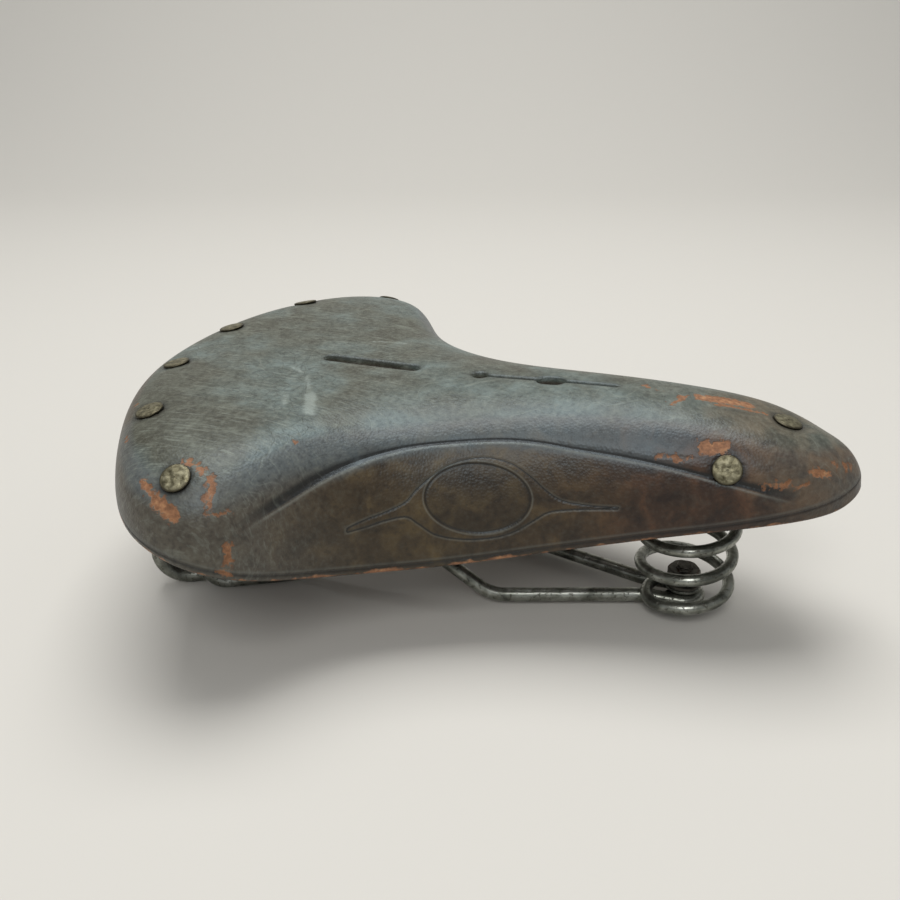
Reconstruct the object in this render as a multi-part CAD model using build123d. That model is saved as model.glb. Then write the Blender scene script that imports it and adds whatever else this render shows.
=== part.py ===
from build123d import *
import math
import os

# A sprung leather bicycle saddle on a wire frame, in millimetres.
# +X points to the nose, +Y to the rider's left and +Z up. The origin is on the floor that the saddle
# stands on, under the middle of its length. The hairpin frame wire lies low, its rear ends rise in
# two spring loops to clamps under the cantle plate, and one coil spring carries the nose.

# ---- Driving dimensions -------------------------------------------------------------------------
# Leather top
LEATHER_LENGTH = 254.0
LEATHER_WIDTH = 202.0
LEATHER_WALL = 5.0
SEAT_HEIGHT = 80.0
# Each row of the outline runs from the middle of the rear edge round the right flank to the nose tip:
# along as a share of half the length, across as a share of half the width, depth of the lower edge
# under the seat height, rise of the shoulder over that edge, inset of the shoulder, and where the
# section starts on the ridge as a share of half the length.
OUTLINE = [
    (-1.022, 0.000, 16.5, 19.0, 5.0, -0.604),
    (-0.950, 0.366, 15.5, 24.0, 4.5, -0.581),
    (-0.836, 0.665, 18.0, 29.5, 4.0, -0.556),
    (-0.683, 0.979, 25.0, 37.5, 2.5, -0.490),
    (-0.400, 1.045, 30.5, 44.0, 5.5, -0.397),
    (-0.292, 0.693, 47.0, 47.5, 7.0, -0.259),
    (-0.003, 0.505, 48.0, 43.0, 9.5, -0.052),
    (0.230, 0.403, 43.5, 38.0, 7.0, 0.192),
    (0.544, 0.321, 35.0, 30.5, 5.0, 0.503),
    (0.809, 0.285, 27.5, 29.5, 3.0, 0.719),
    (0.969, 0.126, 28.0, 15.0, 4.0, 0.854),
    (1.014, 0.000, 21.5, 5.0, 0.5, 0.865),
]
# Depth of the ridge line under the seat height, at even steps along the length
RIDGE_DROPS = [-1.0, -0.5, 0.0, 0.5, -2.0, -0.5, 12.5, 10.0]
RIDGE_FIRST = -0.989
RIDGE_STEP = 0.3307
SHOULDER_PULL = 0.777
SKIRT_PULL = 0.805

# Slots along the middle of the leather
REAR_SLOT_LENGTH = 36.0
REAR_SLOT_WIDTH = 5.0
REAR_SLOT_CENTRE = -42.0
FRONT_HOLE_RADIUS = 2.6
FRONT_HOLE_X = -2.0
OVAL_HOLE_X = 23.0
OVAL_HOLE_LENGTH = 9.5
OVAL_HOLE_WIDTH = 6.5
SLIT_WIDTH = 1.4
SLIT_END_X = 46.0

# Cantle plate and nose plate
PLATE_WALL = 2.0
PLATE_GAP = 0.2
CANTLE_REACH = 4.0
NOSE_PLATE_START = 6.5
NOSE_PLATE_ALONG = 0.598
NOSE_PLATE_EDGE = 0.80
THRUST_WALL = 3.0
THRUST_WALL_WIDTH = 14.0
THRUST_WALL_DROP = 7.0

# Rivets: their places as the outline's row and the share down its section
REAR_RIVETS = [(0.78, 0.482), (2.21, 0.552), (3.47, 0.672)]
NOSE_SIDE_RIVET = (8.50, 0.660)
NOSE_TOP_RIVET_ALONG = 0.796
RIVET_HEAD_RADIUS = 4.7
RIVET_HEAD_HEIGHT = 1.4
RIVET_HEAD_EDGE = 0.55
RIVET_SINK = 0.5
RIVET_SHANK_RADIUS = 2.0
RIVET_TAIL_RADIUS = 2.9
RIVET_TAIL_HEIGHT = 1.0
BURR_RADIUS = 4.2
BURR_THICKNESS = 1.0
BURR_GAP = 1.1
FIT = 0.05

# Frame wire
RAIL_WIRE = 5.0
RAIL_SPREAD = 42.5
CLIP_HEIGHT = 19.0
HAIRPIN_STRAIGHT = 14.5
RAIL_BENDS = [16.0, 14.0, 14.0, 16.0, 20.0]
# Places along the frame, as shares of half the length
LOW_FRONT_ALONG = -0.488
CLIP_REAR_ALONG = -0.331
CLIP_FRONT_ALONG = -0.110
BEND_ALONG = 0.071
# The low rear run: where it ends, as a share of half the length, and how far it spreads
LOW_REAR_ALONG = -0.677
LOW_FRONT_SPREAD = 4.25
LOW_REAR_SPREAD = 1.5

# Front clamp, a thin-headed bolt up through the hairpin and the coil's lower eye
NOSE_OVERHANG = 52.5
BOLT_DIAMETER = 6.0
BOLT_HEAD_RADIUS = 6.5
BOLT_HEAD_HEIGHT = 1.5
WASHER_RADIUS = 6.25
WASHER_THICKNESS = 1.0
NUT_FLATS = 10.0
NUT_HEIGHT = 5.0
BOLT_TIP = 1.5
BOLT_CHAMFER = 0.6
# A hexagon's chamfer, as shares of its width across flats: the flat disc, the corner and the drop
HEX_FLAT = 0.52
HEX_CORNER = 0.577
HEX_DROP = 0.04

# Front coil
COIL_WIRE = 4.2
COIL_RADIUS = 15.7
COIL_TURNS = 3.56
COIL_START_ANGLE = -120.0
EYE_THICKNESS = 2.0
EYE_RADIUS = 6.6
TAB_WIDTH = 5.0

# Nose bracket and tension bolt
TENSION_DROP = 20.0
BRACKET_WALL = 3.0
BRACKET_WIDTH = 18.0
BRACKET_LENGTH = 30.0
BRACKET_EAR_RISE = 6.5
TOP_BOLT_HEAD_HEIGHT = 3.5
TENSION_HEAD_HEIGHT = 4.0
TENSION_NUT_GAP = 9.5
TENSION_TAIL = 4.0
HEAD_CLEARANCE = 1.0

# Rear spring loops and their clamps
LOOP_HEIGHT = 18.5
LOOP_LENGTH = 17.0
LOOP_OFFSET = 8.0
# Clearance between the frame wire's end and the loop's return beside it
LOOP_GAP = 1.3
LOOP_BENDS = [7.0, 8.0, 8.0, 7.0, 11.0, 3.2, 2.8]
# The riser's foot and top, as shares of half the length, and the top's distance outwards from the wire's end
RISER_FOOT_ALONG = -0.882
RISER_TOP_ALONG = -0.854
RISER_TOP_SPREAD = 5.5
WIRE_END_INSET = 22.5
WIRE_END_DROP = 14.0
WIRE_END_ACROSS = 0.243
WIRE_END_LENGTH = 12.0
PAD_LENGTH = 18.0
PAD_WIDTH = 11.0
CLAMP_HEIGHT = 8.0
CLAMP_WIDTH = 10.0
CLAMP_NOSE = 5.0
CLAMP_TAIL = 12.0
CLAMP_BOLT_OFFSET = 7.0
CLAMP_BOLT_GRIP = 2.5
CLAMP_BOLT_RADIUS = 2.0
CLAMP_BOLT_HEAD_RADIUS = 3.5
CLAMP_BOLT_HEAD_HEIGHT = 2.8
CLAMP_CORNER = 2.0
DRIVER_SLOT_WIDTH = 1.0
DRIVER_SLOT_DEPTH = 1.0

# ---- Values that follow -------------------------------------------------------------------------
HALF_LENGTH = LEATHER_LENGTH / 2
HALF_WIDTH = LEATHER_WIDTH / 2
LAST_ROW = len(OUTLINE) - 1
BOLT_RADIUS = BOLT_DIAMETER / 2
STANDING = (Align.CENTER, Align.CENTER, Align.MIN)
HANGING = (Align.CENTER, Align.CENTER, Align.MAX)
BOLT_X = HALF_LENGTH - NOSE_OVERHANG
RAIL_HEIGHT = BOLT_HEAD_HEIGHT + RAIL_WIRE / 2
HAIRPIN_RADIUS = BOLT_RADIUS + RAIL_WIRE / 2 + 2 * FIT
EYE_FOOT = RAIL_HEIGHT + RAIL_WIRE / 2
TENSION_HEIGHT = SEAT_HEIGHT - TENSION_DROP
BASE_TOP = TENSION_HEIGHT - BOLT_RADIUS - HEAD_CLEARANCE - TOP_BOLT_HEAD_HEIGHT
BASE_FOOT = BASE_TOP - BRACKET_WALL
GRIP = LEATHER_WALL + PLATE_GAP + PLATE_WALL
NOSE_TOP_RIVET_X = NOSE_TOP_RIVET_ALONG * HALF_LENGTH
WIRE_END_X = WIRE_END_INSET - HALF_LENGTH
WIRE_END_INNER = WIRE_END_ACROSS * HALF_WIDTH
WIRE_END_OUTER = WIRE_END_INNER + WIRE_END_LENGTH
LOW_FRONT_X = LOW_FRONT_ALONG * HALF_LENGTH
LOW_FRONT_Y = RAIL_SPREAD / 2 + LOW_FRONT_SPREAD
LOW_REAR_X = LOW_REAR_ALONG * HALF_LENGTH
LOW_REAR_Y = WIRE_END_OUTER + LOW_REAR_SPREAD


# ---- The leather's surface ----------------------------------------------------------------------
def spline_weights(f):
    """Weights of four neighbouring rows of a uniform cubic B-spline, at share f of the middle step."""
    return [
        (1 - f) ** 3 / 6,
        (3 * f ** 3 - 6 * f ** 2 + 4) / 6,
        (-3 * f ** 3 + 3 * f ** 2 + 3 * f + 1) / 6,
        f ** 3 / 6,
    ]


def outline_row(index):
    """One row of the outline; past either end the rows come back mirrored across the middle."""
    if index < 0:
        row = OUTLINE[-index]
        return (row[0], -row[1]) + row[2:]
    if index > LAST_ROW:
        row = OUTLINE[2 * LAST_ROW - index]
        return (row[0], -row[1]) + row[2:]
    return OUTLINE[index]


def outline_at(t):
    """The outline's six values at row t, which may lie between rows."""
    first = min(int(t), LAST_ROW - 1)
    weights = spline_weights(t - first)
    rows = [outline_row(first - 1 + k) for k in range(4)]
    return [sum(w * row[k] for w, row in zip(weights, rows)) for k in range(6)]


def ridge_at(x):
    """Height of the ridge line at x, and its slope."""
    u = (x / HALF_LENGTH - RIDGE_FIRST) / RIDGE_STEP
    first = max(1, min(int(u), len(RIDGE_DROPS) - 3))
    f = u - first
    drops = RIDGE_DROPS[first - 1:first + 3]
    slopes = [-(1 - f) ** 2 / 2, (3 * f ** 2 - 4 * f) / 2, (-3 * f ** 2 + 2 * f + 1) / 2, f ** 2 / 2]
    drop = sum(w * d for w, d in zip(spline_weights(f), drops))
    slope = -sum(w * d for w, d in zip(slopes, drops)) / (RIDGE_STEP * HALF_LENGTH)
    return SEAT_HEIGHT - drop, slope


def section(t, depth=0.0):
    """Four Bezier points of the section at row t, from the ridge to the lower edge, at a depth inside."""
    along, across, edge_drop, rise, inset, start = outline_at(t)
    ridge_x = start * HALF_LENGTH
    ridge_z, slope = ridge_at(ridge_x)
    ridge = Vector(ridge_x, 0, ridge_z - depth)
    edge = Vector(along * HALF_LENGTH, -across * HALF_WIDTH, SEAT_HEIGHT - edge_drop)
    out = Vector(edge.X - ridge.X, edge.Y, 0).normalized()
    shoulder = edge - out * (inset + depth) + Vector(0, 0, rise - depth)
    edge = edge - out * depth
    upper = ridge + (shoulder - ridge) * SHOULDER_PULL
    upper = Vector(upper.X, upper.Y, ridge.Z + slope * (upper.X - ridge.X))
    lower = edge + (shoulder - edge) * SKIRT_PULL
    return [ridge, upper, lower, edge]


def bezier_point(points, v):
    """The point at share v of a cubic Bezier curve."""
    a, b, c, d = points
    return a * (1 - v) ** 3 + b * (3 * v * (1 - v) ** 2) + c * (3 * v * v * (1 - v)) + d * v ** 3


def bezier_part(points, v_from, v_to):
    """The four points of the piece of a cubic Bezier curve between two shares."""
    a = bezier_point(points, v_from)
    d = bezier_point(points, v_to)
    scale = (v_to - v_from) / 3

    def tangent(v):
        p, q, r, s = points
        return (q - p) * (3 * (1 - v) ** 2) + (r - q) * (6 * v * (1 - v)) + (s - r) * (3 * v * v)

    return [a, a + tangent(v_from) * scale, d - tangent(v_to) * scale, d]


def skin(t, v, depth=0.0, side=-1):
    """A point on the leather at row t and share v, inside it by depth; side is -1 for the right flank."""
    p = bezier_point(section(t, depth), v)
    return Vector(p.X, p.Y * -side, p.Z)


def skin_plane(t, v, side=-1):
    """A plane on the leather at row t and share v that looks straight out of it."""
    step = 0.02
    here = skin(t, v, 0.0, side)
    ahead = skin(min(t + step, LAST_ROW), v, 0.0, side) - skin(max(t - step, 0), v, 0.0, side)
    if t < step or t > LAST_ROW - step:
        ahead = Vector(0, 1, 0)
    down = skin(t, v + step, 0.0, side) - skin(t, v - step, 0.0, side)
    normal = ahead.cross(down).normalized()
    centre = Vector(0, 0, SEAT_HEIGHT / 2)
    if normal.dot(here - centre) < 0:
        normal = normal * -1
    return Plane(origin=here, x_dir=down, z_dir=normal)


def both_flanks(half):
    """One solid of a right half and its mirror image, without the faces where the two meet."""
    outside = [face for face in half.faces() if face.bounding_box().size.Y > FIT]
    return Part() + Solid(Shell(outside + [mirror(face, about=Plane.XZ).face() for face in outside]))


def shell(rows, v_range, outer, inner):
    """A closed wall between two depths over some rows and shares, mirrored to both flanks and joined."""
    wires = []
    for t in rows:
        v_from, v_to = v_range(t)
        a = bezier_part(section(t, outer), v_from, v_to)
        b = bezier_part(section(t, inner), v_from, v_to)
        wires.append(Wire([
            Edge.make_bezier(*a),
            Edge.make_line(a[3], b[3]),
            Edge.make_bezier(*reversed(b)),
            Edge.make_line(b[0], a[0]),
        ]))
    return both_flanks(Solid.make_loft(wires))


def plate_core(rows):
    """Everything under the middle of the plates' wall, so that what is added to them ends inside it."""
    depth = GRIP - PLATE_WALL / 2
    wires = []
    for t in rows:
        a = section(t, depth)
        foot = Vector(a[3].X, a[3].Y, 0)
        root = Vector(a[0].X, a[0].Y, 0)
        wires.append(Wire([
            Edge.make_bezier(*a),
            Edge.make_line(a[3], foot),
            Edge.make_line(foot, root),
            Edge.make_line(root, a[0]),
        ]))
    return both_flanks(Solid.make_loft(wires))


def row_steps(first, last, count):
    """Evenly spaced rows from first to last."""
    return [first + (last - first) * k / (count - 1) for k in range(count)]


def save(shape, node):
    """Write one node's solids to its file."""
    solids = shape.solids() if hasattr(shape, "solids") else [s for part in shape for s in part.solids()]
    export_step(Compound(children=list(solids)), f"parts/{node}.step")


def turned(profile_points, plane):
    """A solid of revolution about a plane's normal, from (radius, height) points."""
    line = Polyline([(r, 0, z) for r, z in profile_points], close=True)
    face = make_face(line.edges())
    return plane * revolve(face, Axis.Z)


def hexagon(plane, flats, height, bore=0.0):
    """A hexagonal nut or head standing on a plane, with an optional bore."""
    body = extrude(RegularPolygon(flats / 2, 6, major_radius=False), height)
    corner = flats * HEX_CORNER
    disc = flats * HEX_FLAT
    drop = flats * HEX_DROP
    profile = [(0, 0), (disc, 0), (corner, drop), (corner, height - drop), (disc, height), (0, height)]
    chamfered = turned(profile, Plane.XY)
    body = body & chamfered
    if bore:
        body -= Pos(0, 0, height / 2) * Cylinder(bore, height + 2)
    return plane * body


def ring(plane, outer, bore, thickness):
    """A flat ring standing on a plane."""
    body = extrude(Circle(outer) - Circle(bore), thickness)
    return plane * body


def washer(plane):
    """A plain washer for the bolts of the saddle."""
    return ring(plane, WASHER_RADIUS, BOLT_RADIUS + FIT, WASHER_THICKNESS)


os.makedirs("parts", exist_ok=True)

# ---- Leather top, plates and rivets -------------------------------------------------------------

def rivet_place(t, v, side):
    """Where a rivet goes: its plane on the leather, and how deep the plate's inner face lies under it."""
    plane = skin_plane(t, v, side)
    inner = skin(t, v, GRIP, side)
    return plane, (plane.origin - inner).dot(plane.z_dir)


def nose_top_place():
    """Where the middle nose rivet goes, on the ridge."""
    height, slope = ridge_at(NOSE_TOP_RIVET_X)
    plane = Plane(origin=(NOSE_TOP_RIVET_X, 0, height), x_dir=(1, 0, slope), z_dir=(-slope, 0, 1))
    return plane, GRIP


rear_places = [rivet_place(t, v, side) for side in (-1, 1) for t, v in REAR_RIVETS]
nose_places = [rivet_place(*NOSE_SIDE_RIVET, side) for side in (-1, 1)] + [nose_top_place()]


def rivet(plane, grip):
    """A tubular rivet with a low domed head, sunk a little into the leather, and a rolled tail."""
    foot = -RIVET_SINK
    tail = -(grip + BURR_GAP + BURR_THICKNESS + FIT)
    points = [
        (0, tail - RIVET_TAIL_HEIGHT),
        (RIVET_TAIL_RADIUS * 0.6, tail - RIVET_TAIL_HEIGHT),
        (RIVET_TAIL_RADIUS, tail - RIVET_TAIL_HEIGHT * 0.4),
        (RIVET_TAIL_RADIUS, tail),
        (RIVET_SHANK_RADIUS, tail),
        (RIVET_SHANK_RADIUS, foot),
        (RIVET_HEAD_RADIUS, foot),
        (RIVET_HEAD_RADIUS, foot + RIVET_HEAD_EDGE),
    ]
    for k in range(1, 7):
        angle = math.pi / 2 * k / 6
        radius = RIVET_HEAD_RADIUS * math.cos(angle)
        height = foot + RIVET_HEAD_EDGE + (RIVET_HEAD_HEIGHT - RIVET_HEAD_EDGE) * math.sin(angle)
        points.append((radius if k < 6 else 0, height))
    return turned(points, plane)


def burr(plane, grip):
    """The washer that the rivet's tail is rolled over."""
    seat = plane.offset(-(grip + BURR_GAP + BURR_THICKNESS))
    return ring(seat, BURR_RADIUS, RIVET_SHANK_RADIUS + FIT, BURR_THICKNESS)


def rivet_hole(plane, grip):
    """What a rivet takes out of the leather and the plate: its shank's hole and its head's seat."""
    hole = plane * Pos(0, 0, -grip / 2) * Cylinder(RIVET_SHANK_RADIUS + FIT, 2 * grip)
    seat = plane * Pos(0, 0, GRIP / 2 - RIVET_SINK) * Cylinder(RIVET_HEAD_RADIUS + FIT, GRIP)
    return hole, seat


def top_slot(x, length, width):
    """A slot with round ends down through the top, long along X."""
    outline = SlotOverall(length, width) if length > width else Circle(width / 2)
    return Pos(x, 0, SEAT_HEIGHT - 2 * LEATHER_WALL) * extrude(outline, 4 * LEATHER_WALL)


leather = shell(row_steps(0, LAST_ROW, 2 * LAST_ROW + 1), lambda t: (0.0, 1.0), 0.0, LEATHER_WALL)
leather -= top_slot(REAR_SLOT_CENTRE, REAR_SLOT_LENGTH, REAR_SLOT_WIDTH)
leather -= top_slot(FRONT_HOLE_X, 0, 2 * FRONT_HOLE_RADIUS)
leather -= top_slot((FRONT_HOLE_X + SLIT_END_X) / 2, SLIT_END_X - FRONT_HOLE_X, SLIT_WIDTH)
leather -= top_slot(OVAL_HOLE_X, OVAL_HOLE_LENGTH, OVAL_HOLE_WIDTH)


def cantle_range(t):
    """The shares of the section that the cantle plate covers at row t."""
    return 0.20 + 0.065 * t, 0.62 + 0.035 * t


plate_top = LEATHER_WALL + PLATE_GAP
cantle = shell(row_steps(0, CANTLE_REACH, 9), cantle_range, plate_top, GRIP)
nose_steps = row_steps(NOSE_PLATE_START, LAST_ROW, 10)
nose_room = Box(HALF_LENGTH, LEATHER_WIDTH, SEAT_HEIGHT, align=(Align.MIN, Align.CENTER, Align.MIN))
nose_room = Pos(NOSE_PLATE_ALONG * HALF_LENGTH, 0, GRIP) * nose_room
nose_plate = shell(nose_steps, lambda t: (0.0, NOSE_PLATE_EDGE), plate_top, GRIP) & nose_room

# The thrust wall that the tension bolt's head pushes on hangs from the nose plate.
thrust_x = BOLT_X + BRACKET_LENGTH / 2 + NUT_HEIGHT + TENSION_NUT_GAP + TENSION_HEAD_HEIGHT
thrust_box = Box(THRUST_WALL, THRUST_WALL_WIDTH, 4 * GRIP, align=(Align.MIN, Align.CENTER, Align.MIN))
thrust_box = Pos(thrust_x, 0, TENSION_HEIGHT - THRUST_WALL_DROP) * thrust_box
nose_plate += thrust_box & plate_core(nose_steps)

for place in rear_places:
    hole, seat = rivet_hole(*place)
    leather = leather - hole - seat
    cantle -= hole
for place in nose_places:
    hole, seat = rivet_hole(*place)
    leather = leather - hole - seat
    nose_plate -= hole

save(leather, "leather_top")
save([rivet(*place) for place in rear_places], "rear_rivets")
save([burr(*place) for place in rear_places], "rear_rivet_burrs")
save([rivet(*place) for place in nose_places], "nose_rivets")
save([burr(*place) for place in nose_places], "nose_rivet_burrs")
save(nose_plate, "nose_plate")

# ---- Rear wire clamps ---------------------------------------------------------------------------
WIRE_END_HEIGHT = SEAT_HEIGHT - WIRE_END_DROP
PAD_FOOT = WIRE_END_HEIGHT + CLAMP_HEIGHT / 2
CLAMP_Y = WIRE_END_INNER + WIRE_END_LENGTH / 2
CLAMP_BOLT_X = WIRE_END_X + CLAMP_BOLT_OFFSET


def clamp_block(side):
    """The block that holds one end of the spring wire up against the cantle plate."""
    length = CLAMP_NOSE + CLAMP_TAIL
    middle_x = WIRE_END_X + (CLAMP_TAIL - CLAMP_NOSE) / 2
    block = Pos(middle_x, side * CLAMP_Y, WIRE_END_HEIGHT) * Box(length, CLAMP_WIDTH, CLAMP_HEIGHT)
    block = fillet(block.edges().filter_by(Axis.Z), CLAMP_CORNER)
    bore = Pos(WIRE_END_X, side * CLAMP_Y, WIRE_END_HEIGHT) * Rot(90, 0, 0)
    bore = bore * Cylinder(RAIL_WIRE / 2 + FIT, 2 * CLAMP_WIDTH)
    hole = Pos(CLAMP_BOLT_X, side * CLAMP_Y, WIRE_END_HEIGHT)
    hole = hole * Cylinder(CLAMP_BOLT_RADIUS + FIT, 2 * CLAMP_HEIGHT)
    return block - bore - hole


def clamp_bolt(side):
    """A round-headed bolt up through the block into the cantle plate's pad."""
    foot = PAD_FOOT - CLAMP_HEIGHT
    shank = CLAMP_HEIGHT + CLAMP_BOLT_GRIP
    head = Cylinder(CLAMP_BOLT_HEAD_RADIUS, CLAMP_BOLT_HEAD_HEIGHT, align=HANGING)
    head = fillet(head.edges().group_by(Axis.Z)[0], CLAMP_BOLT_HEAD_HEIGHT / 3)
    body = Cylinder(CLAMP_BOLT_RADIUS, shank, align=STANDING)
    recess = Box(4 * CLAMP_BOLT_HEAD_RADIUS, DRIVER_SLOT_WIDTH, 2 * DRIVER_SLOT_DEPTH)
    recess = Pos(0, 0, -CLAMP_BOLT_HEAD_HEIGHT) * recess
    return Pos(CLAMP_BOLT_X, side * CLAMP_Y, foot) * (head + body - recess)


for side in (-1, 1):
    pad = Box(PAD_LENGTH, PAD_WIDTH, 2 * GRIP, align=STANDING)
    pad = Pos(WIRE_END_X + (CLAMP_TAIL - CLAMP_NOSE) / 2, side * CLAMP_Y, PAD_FOOT) * pad
    cantle += pad & plate_core(row_steps(0, 3, 7))
    grip = CLAMP_BOLT_GRIP + FIT
    hole = Cylinder(CLAMP_BOLT_RADIUS + FIT, grip, align=STANDING)
    cantle -= Pos(CLAMP_BOLT_X, side * CLAMP_Y, PAD_FOOT) * hole

save(cantle, "cantle_plate")
for name, side in (("right", -1), ("left", 1)):
    save(clamp_block(side), f"wire_clamp_{name}")
save([clamp_bolt(side) for side in (-1, 1)], "wire_clamp_bolts")

end_shape = Rot(90, 0, 0) * Cylinder(RAIL_WIRE / 2, WIRE_END_LENGTH)
save([Pos(WIRE_END_X, side * CLAMP_Y, WIRE_END_HEIGHT) * end_shape for side in (-1, 1)], "rear_wire_ends")


# ---- Frame wire and spring loops ----------------------------------------------------------------
def swept_wire(path, diameter):
    """A round wire along a path."""
    start = Plane(origin=path @ 0, z_dir=path % 0)
    return sweep(start * Circle(diameter / 2), path=path)


def rail_path(side):
    """One flank of the frame wire, from its low rear end to the start of the hairpin."""
    y = side * RAIL_SPREAD / 2
    points = [
        (LOW_REAR_X, side * LOW_REAR_Y, RAIL_WIRE / 2),
        (LOW_FRONT_X, side * LOW_FRONT_Y, RAIL_WIRE / 2),
        (CLIP_REAR_ALONG * HALF_LENGTH, y, CLIP_HEIGHT),
        (CLIP_FRONT_ALONG * HALF_LENGTH, y, CLIP_HEIGHT),
        (BEND_ALONG * HALF_LENGTH, y, RAIL_HEIGHT),
        (BOLT_X - HAIRPIN_STRAIGHT, side * HAIRPIN_RADIUS, RAIL_HEIGHT),
        (BOLT_X, side * HAIRPIN_RADIUS, RAIL_HEIGHT),
    ]
    return FilletPolyline(*points, radius=RAIL_BENDS)


right_path = rail_path(-1)
left_path = rail_path(1)
hairpin = ThreePointArc(
    (BOLT_X, -HAIRPIN_RADIUS, RAIL_HEIGHT),
    (BOLT_X + HAIRPIN_RADIUS, 0, RAIL_HEIGHT),
    (BOLT_X, HAIRPIN_RADIUS, RAIL_HEIGHT),
)
rail_wires = Wire(right_path.edges() + hairpin.edges() + left_path.edges())
save(swept_wire(rail_wires, RAIL_WIRE), "frame_wire")


def loop_path(side):
    """A spring loop: back along the floor, once round, back again and up to the clamp."""
    run = Vector(LOW_REAR_X - LOW_FRONT_X, LOW_REAR_Y - LOW_FRONT_Y, 0).normalized()
    low = RAIL_WIRE / 2
    high = low + LOOP_HEIGHT
    start = Vector(LOW_REAR_X, LOW_REAR_Y, low)
    back = start + run * (LOOP_LENGTH / 2)
    beside = start - Vector(run.Y, -run.X, 0) * (RAIL_WIRE + LOOP_GAP)
    foot = beside + run * ((RISER_FOOT_ALONG * HALF_LENGTH - beside.X) / run.X)
    front = foot - run * ((foot.X - (LOW_REAR_X + LOOP_LENGTH / 2)) / run.X)
    points = [
        start,
        back,
        Vector(back.X, back.Y - LOOP_OFFSET / 4, high),
        Vector(front.X, front.Y + LOOP_OFFSET * 0.9, high),
        front,
        foot,
        Vector(RISER_TOP_ALONG * HALF_LENGTH, WIRE_END_OUTER + RISER_TOP_SPREAD, WIRE_END_HEIGHT),
        Vector(WIRE_END_X, WIRE_END_OUTER + RAIL_WIRE / 2, WIRE_END_HEIGHT),
        Vector(WIRE_END_X, WIRE_END_OUTER, WIRE_END_HEIGHT),
    ]
    points = [(p.X, side * p.Y, p.Z) for p in points]
    return FilletPolyline(*points, radius=LOOP_BENDS)


for name, side in (("right", -1), ("left", 1)):
    save(swept_wire(loop_path(side), RAIL_WIRE), f"rear_loop_{name}")

# ---- Front clamp --------------------------------------------------------------------------------
floor_plane = Plane(origin=(BOLT_X, 0, 0), z_dir=(0, 0, 1))
washer_foot = EYE_FOOT + EYE_THICKNESS
nut_foot = washer_foot + WASHER_THICKNESS
bolt_top = nut_foot + NUT_HEIGHT + BOLT_TIP
head = Cylinder(BOLT_HEAD_RADIUS, BOLT_HEAD_HEIGHT, align=STANDING)
head = fillet(head.edges().group_by(Axis.Z)[0], BOLT_HEAD_HEIGHT / 2)
shank = Cylinder(BOLT_RADIUS, bolt_top, align=STANDING)
shank = chamfer(shank.edges().group_by(Axis.Z)[-1], BOLT_CHAMFER)
save(floor_plane * (head + shank), "front_clamp_bolt")
save(washer(floor_plane.offset(washer_foot)), "front_clamp_washer")
save(hexagon(floor_plane.offset(nut_foot), NUT_FLATS, NUT_HEIGHT, BOLT_RADIUS + FIT), "front_clamp_nut")


# ---- Front coil ---------------------------------------------------------------------------------
def coil_eye(foot, angle):
    """A flattened end of the coil wire: a flat eye round the bolt with a tab out to the coil."""
    reach = COIL_RADIUS
    tab = Pos(reach / 2, 0, 0) * Rectangle(reach, TAB_WIDTH)
    tip = Pos(reach, 0, 0) * Circle(TAB_WIDTH / 2)
    flat = Circle(EYE_RADIUS) + tab + tip - Circle(BOLT_RADIUS + FIT)
    return Pos(BOLT_X, 0, foot) * Rot(0, 0, angle) * extrude(flat, EYE_THICKNESS)


coil_bottom = EYE_FOOT + EYE_THICKNESS - COIL_WIRE / 2
coil_top = BASE_FOOT - COIL_WIRE / 2
coil_height = coil_top - coil_bottom
helix = Helix(pitch=coil_height / COIL_TURNS, height=coil_height, radius=COIL_RADIUS)
helix = Pos(BOLT_X, 0, coil_bottom) * Rot(0, 0, COIL_START_ANGLE) * helix
helix_start = Plane(origin=helix @ 0, z_dir=helix % 0)
coil = sweep(helix_start * Circle(COIL_WIRE / 2), path=helix, is_frenet=True)
coil_end_angle = COIL_START_ANGLE + 360 * COIL_TURNS
coil += coil_eye(EYE_FOOT, COIL_START_ANGLE)
coil += coil_eye(BASE_FOOT - EYE_THICKNESS, coil_end_angle)
save(coil, "front_coil")

# ---- Nose bracket, its bolt, and the tension bolt -----------------------------------------------
ear_top = TENSION_HEIGHT + BRACKET_EAR_RISE
base = Box(BRACKET_LENGTH, BRACKET_WIDTH, BRACKET_WALL, align=STANDING)
bracket = Pos(BOLT_X, 0, BASE_FOOT) * base
for end in (-1, 1):
    ear_x = BOLT_X + end * (BRACKET_LENGTH - BRACKET_WALL) / 2
    ear_height = TENSION_HEIGHT - BASE_FOOT
    ear = Pos(ear_x, 0, BASE_FOOT + ear_height / 2) * Box(BRACKET_WALL, BRACKET_WIDTH, ear_height)
    crown = Pos(ear_x, 0, TENSION_HEIGHT) * Rot(0, 90, 0) * Cylinder(BRACKET_WIDTH / 2, BRACKET_WALL)
    cap = Pos(ear_x, 0, (TENSION_HEIGHT + ear_top) / 2) * Box(BRACKET_WALL, BRACKET_WIDTH, BRACKET_EAR_RISE)
    bracket += ear + (crown & cap)
bracket -= Pos(BOLT_X, 0, TENSION_HEIGHT) * Rot(0, 90, 0) * Cylinder(BOLT_RADIUS + FIT, 2 * BRACKET_LENGTH)
bracket -= Pos(BOLT_X, 0, BASE_TOP) * Cylinder(BOLT_RADIUS + FIT, 3 * BRACKET_WALL)
save(bracket, "nose_bracket")

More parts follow.
